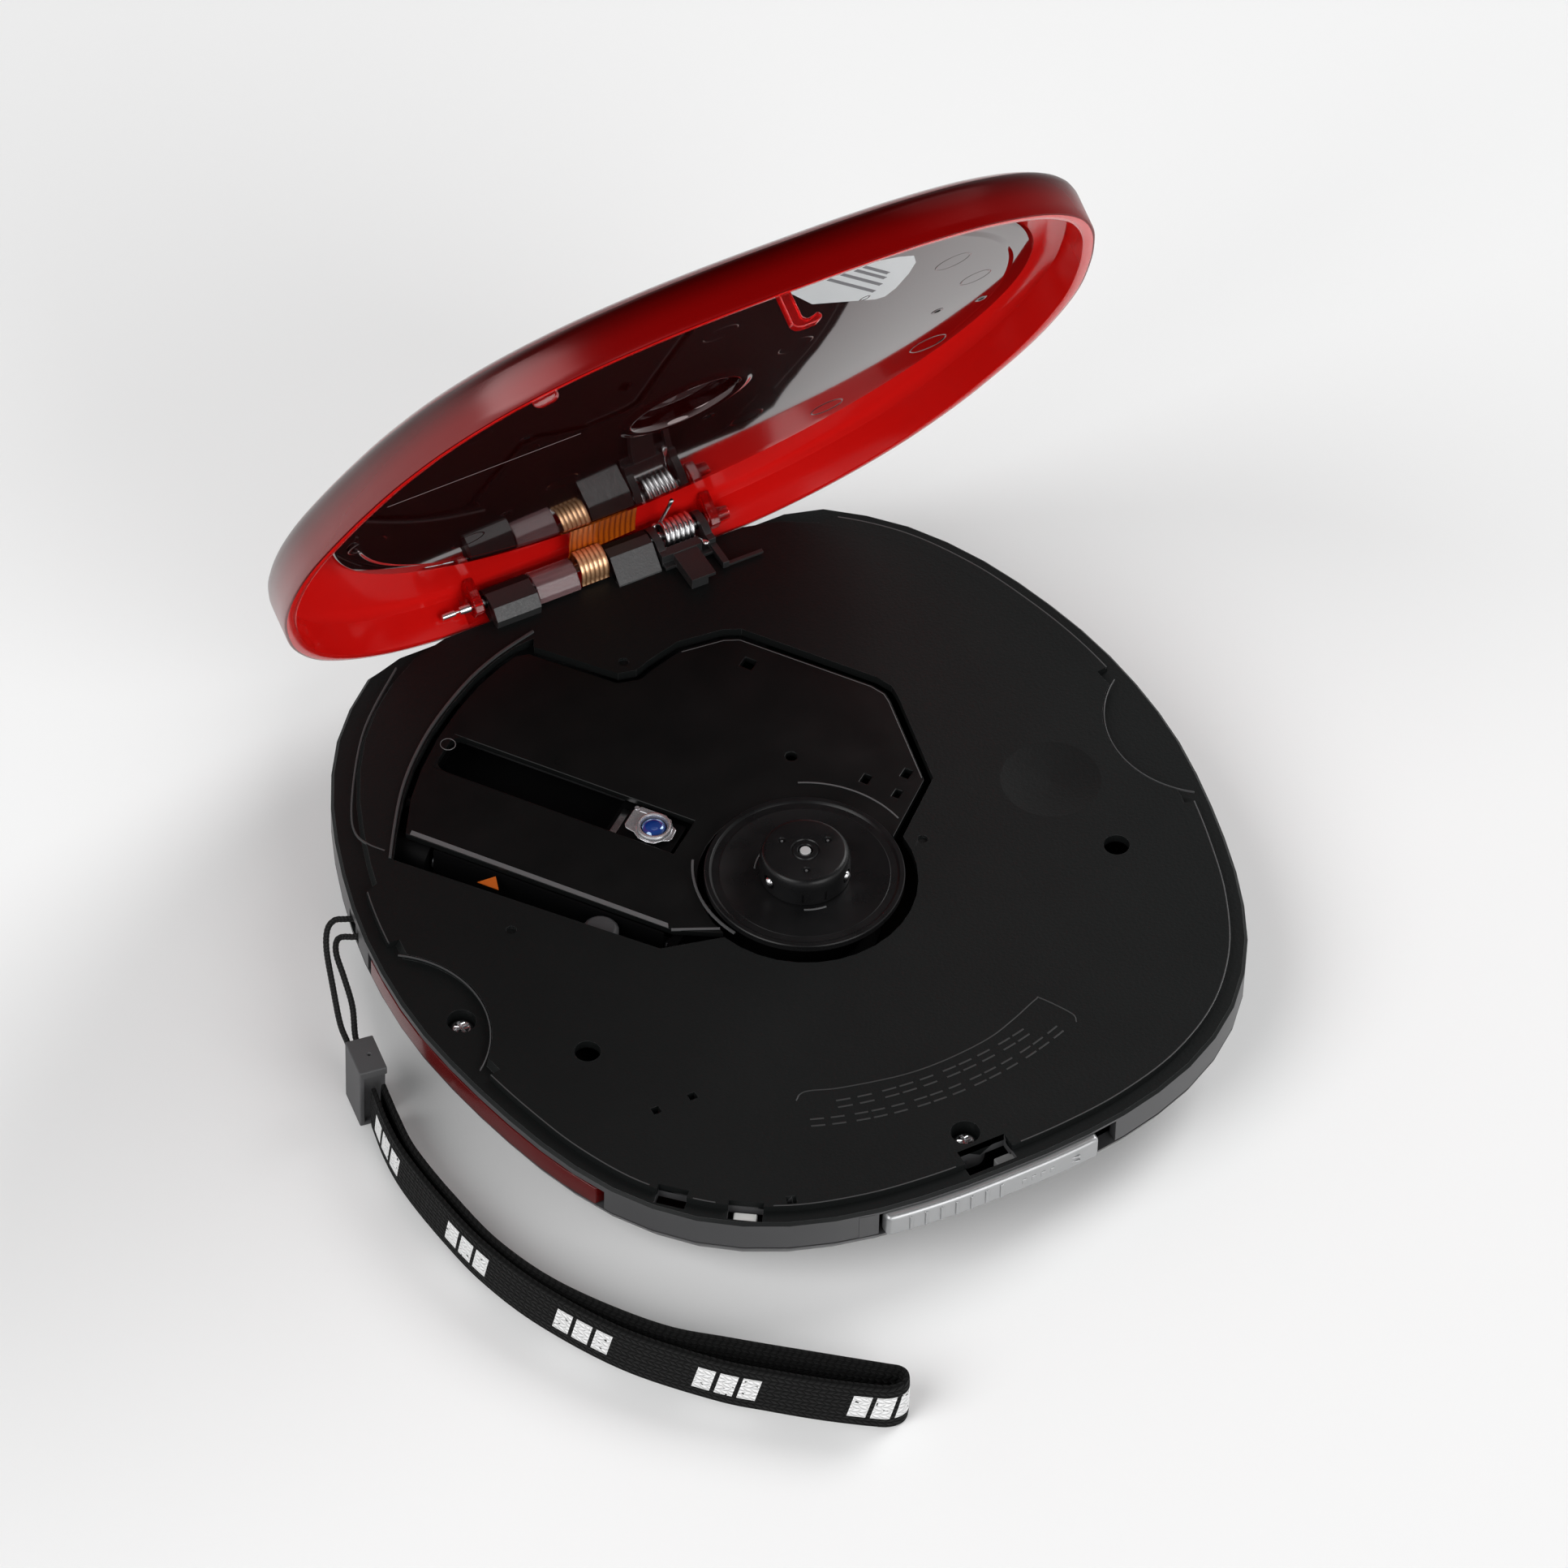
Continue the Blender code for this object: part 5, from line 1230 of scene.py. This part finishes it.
def turntable():
    """Stepped platter, hub with its ball windows, and the shaft's end."""
    black = surface("turntable_black", (0.0060, 0.0060, 0.0063), 0.30, specular=0.2,
                    grain=(0.0025, 0.9), mottle=(0.5, 5))
    bm = bmesh.new()
    foot = raised(RIM, (3.5, 0.95), (14.9, 0.95), (16.1, 1.25), (16.3, 1.45))
    face = raised(PLATTER_TOP, (16.3, -0.15), (16.15, 0.0), (15.5, 0.0), (15.3, -0.12),
                  (15.1, -0.3), (14.0, -0.3), (13.9, -0.24), (13.75, -0.24), (13.6, -0.3),
                  (8.6, -0.3), (8.4, -0.3), (3.5, -0.3))
    add_turned(bm, foot + face, sides=160, close=True)
    piece("platter_turned", bm, black, 30, "turntable", "mech_black", "platter")

    bm = bmesh.new()
    foot = raised(RIM, (1.2, 0.6), (3.1, 0.6))
    wall = raised(PLATTER_TOP, (3.1, 0.02), (7.4, 0.02), (7.4, 3.3))
    crown = raised(HUB_TOP, (7.3, -1.3), (7.15, -0.7), (6.95, -0.35), (6.65, -0.1), (6.3, 0.0),
                   (2.4, 0.0), (2.25, -0.16), (2.1, -0.16), (1.95, 0.0), (1.35, 0.0), (1.2, -0.12))
    add_turned(bm, foot + wall + crown, sides=120, close=True)
    hub = finished("hub_moulded", bm, [black, EDGE_HIGHLIGHT], 30)
    bm = bmesh.new()
    for i in range(3):
        ball, rib, dimple = (math.radians(turn - 120 * i)
                             for turn in (BALL_TURN, RIB_TURN, DIMPLE_TURN))
        way = Vector((*polar(1.0, ball), 0.0))
        seat = way * 7.0 + Vector((0, 0, PLATTER_TOP + 2.2))
        cut(hub, add_rod, seat - way * 1.6, seat + way * 3, 1.25, 28)
        out = Vector((*polar(1.0, rib), 0.0))
        for shift in (-1.9, 1.9):
            p = out * 7.4 + Vector((-out.y, out.x, 0.0)) * shift
            cut(hub, add_box, (p.x - 0.5, p.y - 0.16, PLATTER_TOP + 0.5),
                (p.x + 0.5, p.y + 0.16, PLATTER_TOP + 2.4), math.degrees(rib))
        x, y = polar(DIMPLE_OUT, dimple)
        cut(hub, add_rod, (x, y, HUB_TOP - 0.35), (x, y, HUB_TOP + 0.1), 0.5, 20, tip=0.75)
        dress(f"clamp_ball_{i + 1}", STEEL, 0.0)
        add_turned(bm, raised(HUB_TOP, (0.05, -0.33), (0.22, -0.33), (0.22, -0.16), (0.05, -0.12)),
                   (x, y), 20)
        arc = arc_points(8.15, math.degrees(rib) - 13, math.degrees(rib) + 13, 8)
        add_bead(bm, arc, 0.3, PLATTER_TOP - 0.32, PLATTER_TOP - 0.12)
    stands_for(hub, "turntable", "mech_black", "hub")
    # The discs in the dimples and the arcs round the hub take the bright edge material: painted
    # highlights.
    piece("hub_details", bm, EDGE_HIGHLIGHT, 40, "turntable", "mech_black")

    bm = bmesh.new()
    crown = raised(HUB_TOP, (0.9, -0.12), (0.82, -0.04), (0.1, -0.02))
    add_turned(bm, [(0.9, RIM - 1.0)] + crown, sides=40)
    grey = surface("shaft_grey", (0.42, 0.42, 0.42), 0.5, 0.2, grain=0.004, mottle=0.08)
    piece("shaft_end", bm, grey, 40, "turntable", "bright_steel", "spindle_shaft")


def pickup():
    """Carriage, alloy lens frame and coated lens."""
    dress("pickup_sled", INSIDE_BLACK_AND_SHADE, 0.2)
    bm = bmesh.new()
    bar = mech_points((32.9, -3.5), (34.3, -3.5), (34.3, 3.9), (32.9, 3.9))
    add_prism(bm, bar, RIM - 3.1, RIM - 2.6)
    piece("sled_bar", bm, STEEL, 35, "sled", "bright_steel", edges=(0.15, 35))
    bm = bmesh.new()
    add_rod(bm, (*mech(31.6, -1.2), RIM - 3.1), (*mech(31.6, 1.4), RIM - 2.7), 0.5, 16)
    red = surface("wire_red", (0.30, 0.012, 0.01), 0.4, grain=0.003, mottle=(0.2, 1))
    piece("sled_wire", bm, red, 35, "sled", "sled_black")

    alloy = surface("lens_alloy", (0.58, 0.58, 0.60), 0.26, 0.8, grain=(0.004, 0.6),
                    mottle=(0.3, 1.5))
    bm = bmesh.new()
    shape = mech_points(
        (23.3, -0.9), (23.6, -1.5), (24.6, -2.0), (25.6, -3.1), (27.0, -3.35), (28.4, -3.1),
        (29.6, -2.2), (31.2, -1.9), (31.7, -1.2), (31.7, 2.2), (30.9, 3.3), (28.6, 3.35),
        (25.2, 2.9), (24.4, 1.7), (23.5, 1.2),
    )
    add_prism(bm, shape[::-1], RIM - 0.3, RIM)
    holder = finished("lens_frame", bm, alloy, 30)
    cut(holder, add_rod, (*LENS_AT, RIM - 2), (*LENS_AT, RIM + 2), 2.2, 40)
    round_edges(holder, 0.16, 35, 2)
    stands_for(holder, "lens", "holder_alloy", "lens_holder")
    bm = bmesh.new()
    add_turned(bm, raised(RIM, (2.15, -0.6), (2.15, 0.35), (2.3, 0.62), (2.55, 0.7), (2.8, 0.62),
                          (3.0, 0.3), (3.05, -0.02)), LENS_AT, 64, close=True)
    add_prism(bm, mech_points((26.2, 3.2), (30.6, 3.2), (30.6, 2.3), (26.2, 2.3))[::-1],
              RIM - 0.1, RIM + 0.08)
    add_rod(bm, (*mech(31.3, 2.7), RIM - 0.1), (*mech(31.3, 2.7), RIM + 0.1), 0.4, 16)
    piece("lens_collar", bm, alloy, 30, "lens", "holder_alloy")
    bm = bmesh.new()
    add_turned(bm, raised(RIM, (1.4, -0.6), (1.95, -0.45), (1.95, 0.12), (1.6, 0.42), (1.15, 0.64),
                          (0.7, 0.76), (0.2, 0.8)), LENS_AT, 48)
    glass = surface("lens_coated", (0.008, 0.045, 0.20), 0.03, specular=1.0, coat=1.0, ior=1.7,
                    grain=(0.001, 1), mottle=(0.1, 2))
    preset(principled(glass), {"Coat Tint": (0.5, 0.75, 1.0, 1.0)})
    piece("lens_dome", bm, glass, 40, "lens", "lens_glass", "objective_lens")


# ---- run

for build in (camera, studio, strap, lid_shell, lid_lugs, lid_plate, lid_fittings, hinge, spring,
              ribbon, deck, deck_bars, deck_mouldings, case_pieces, latch, power, mechanism,
              turntable, pickup):
    build()
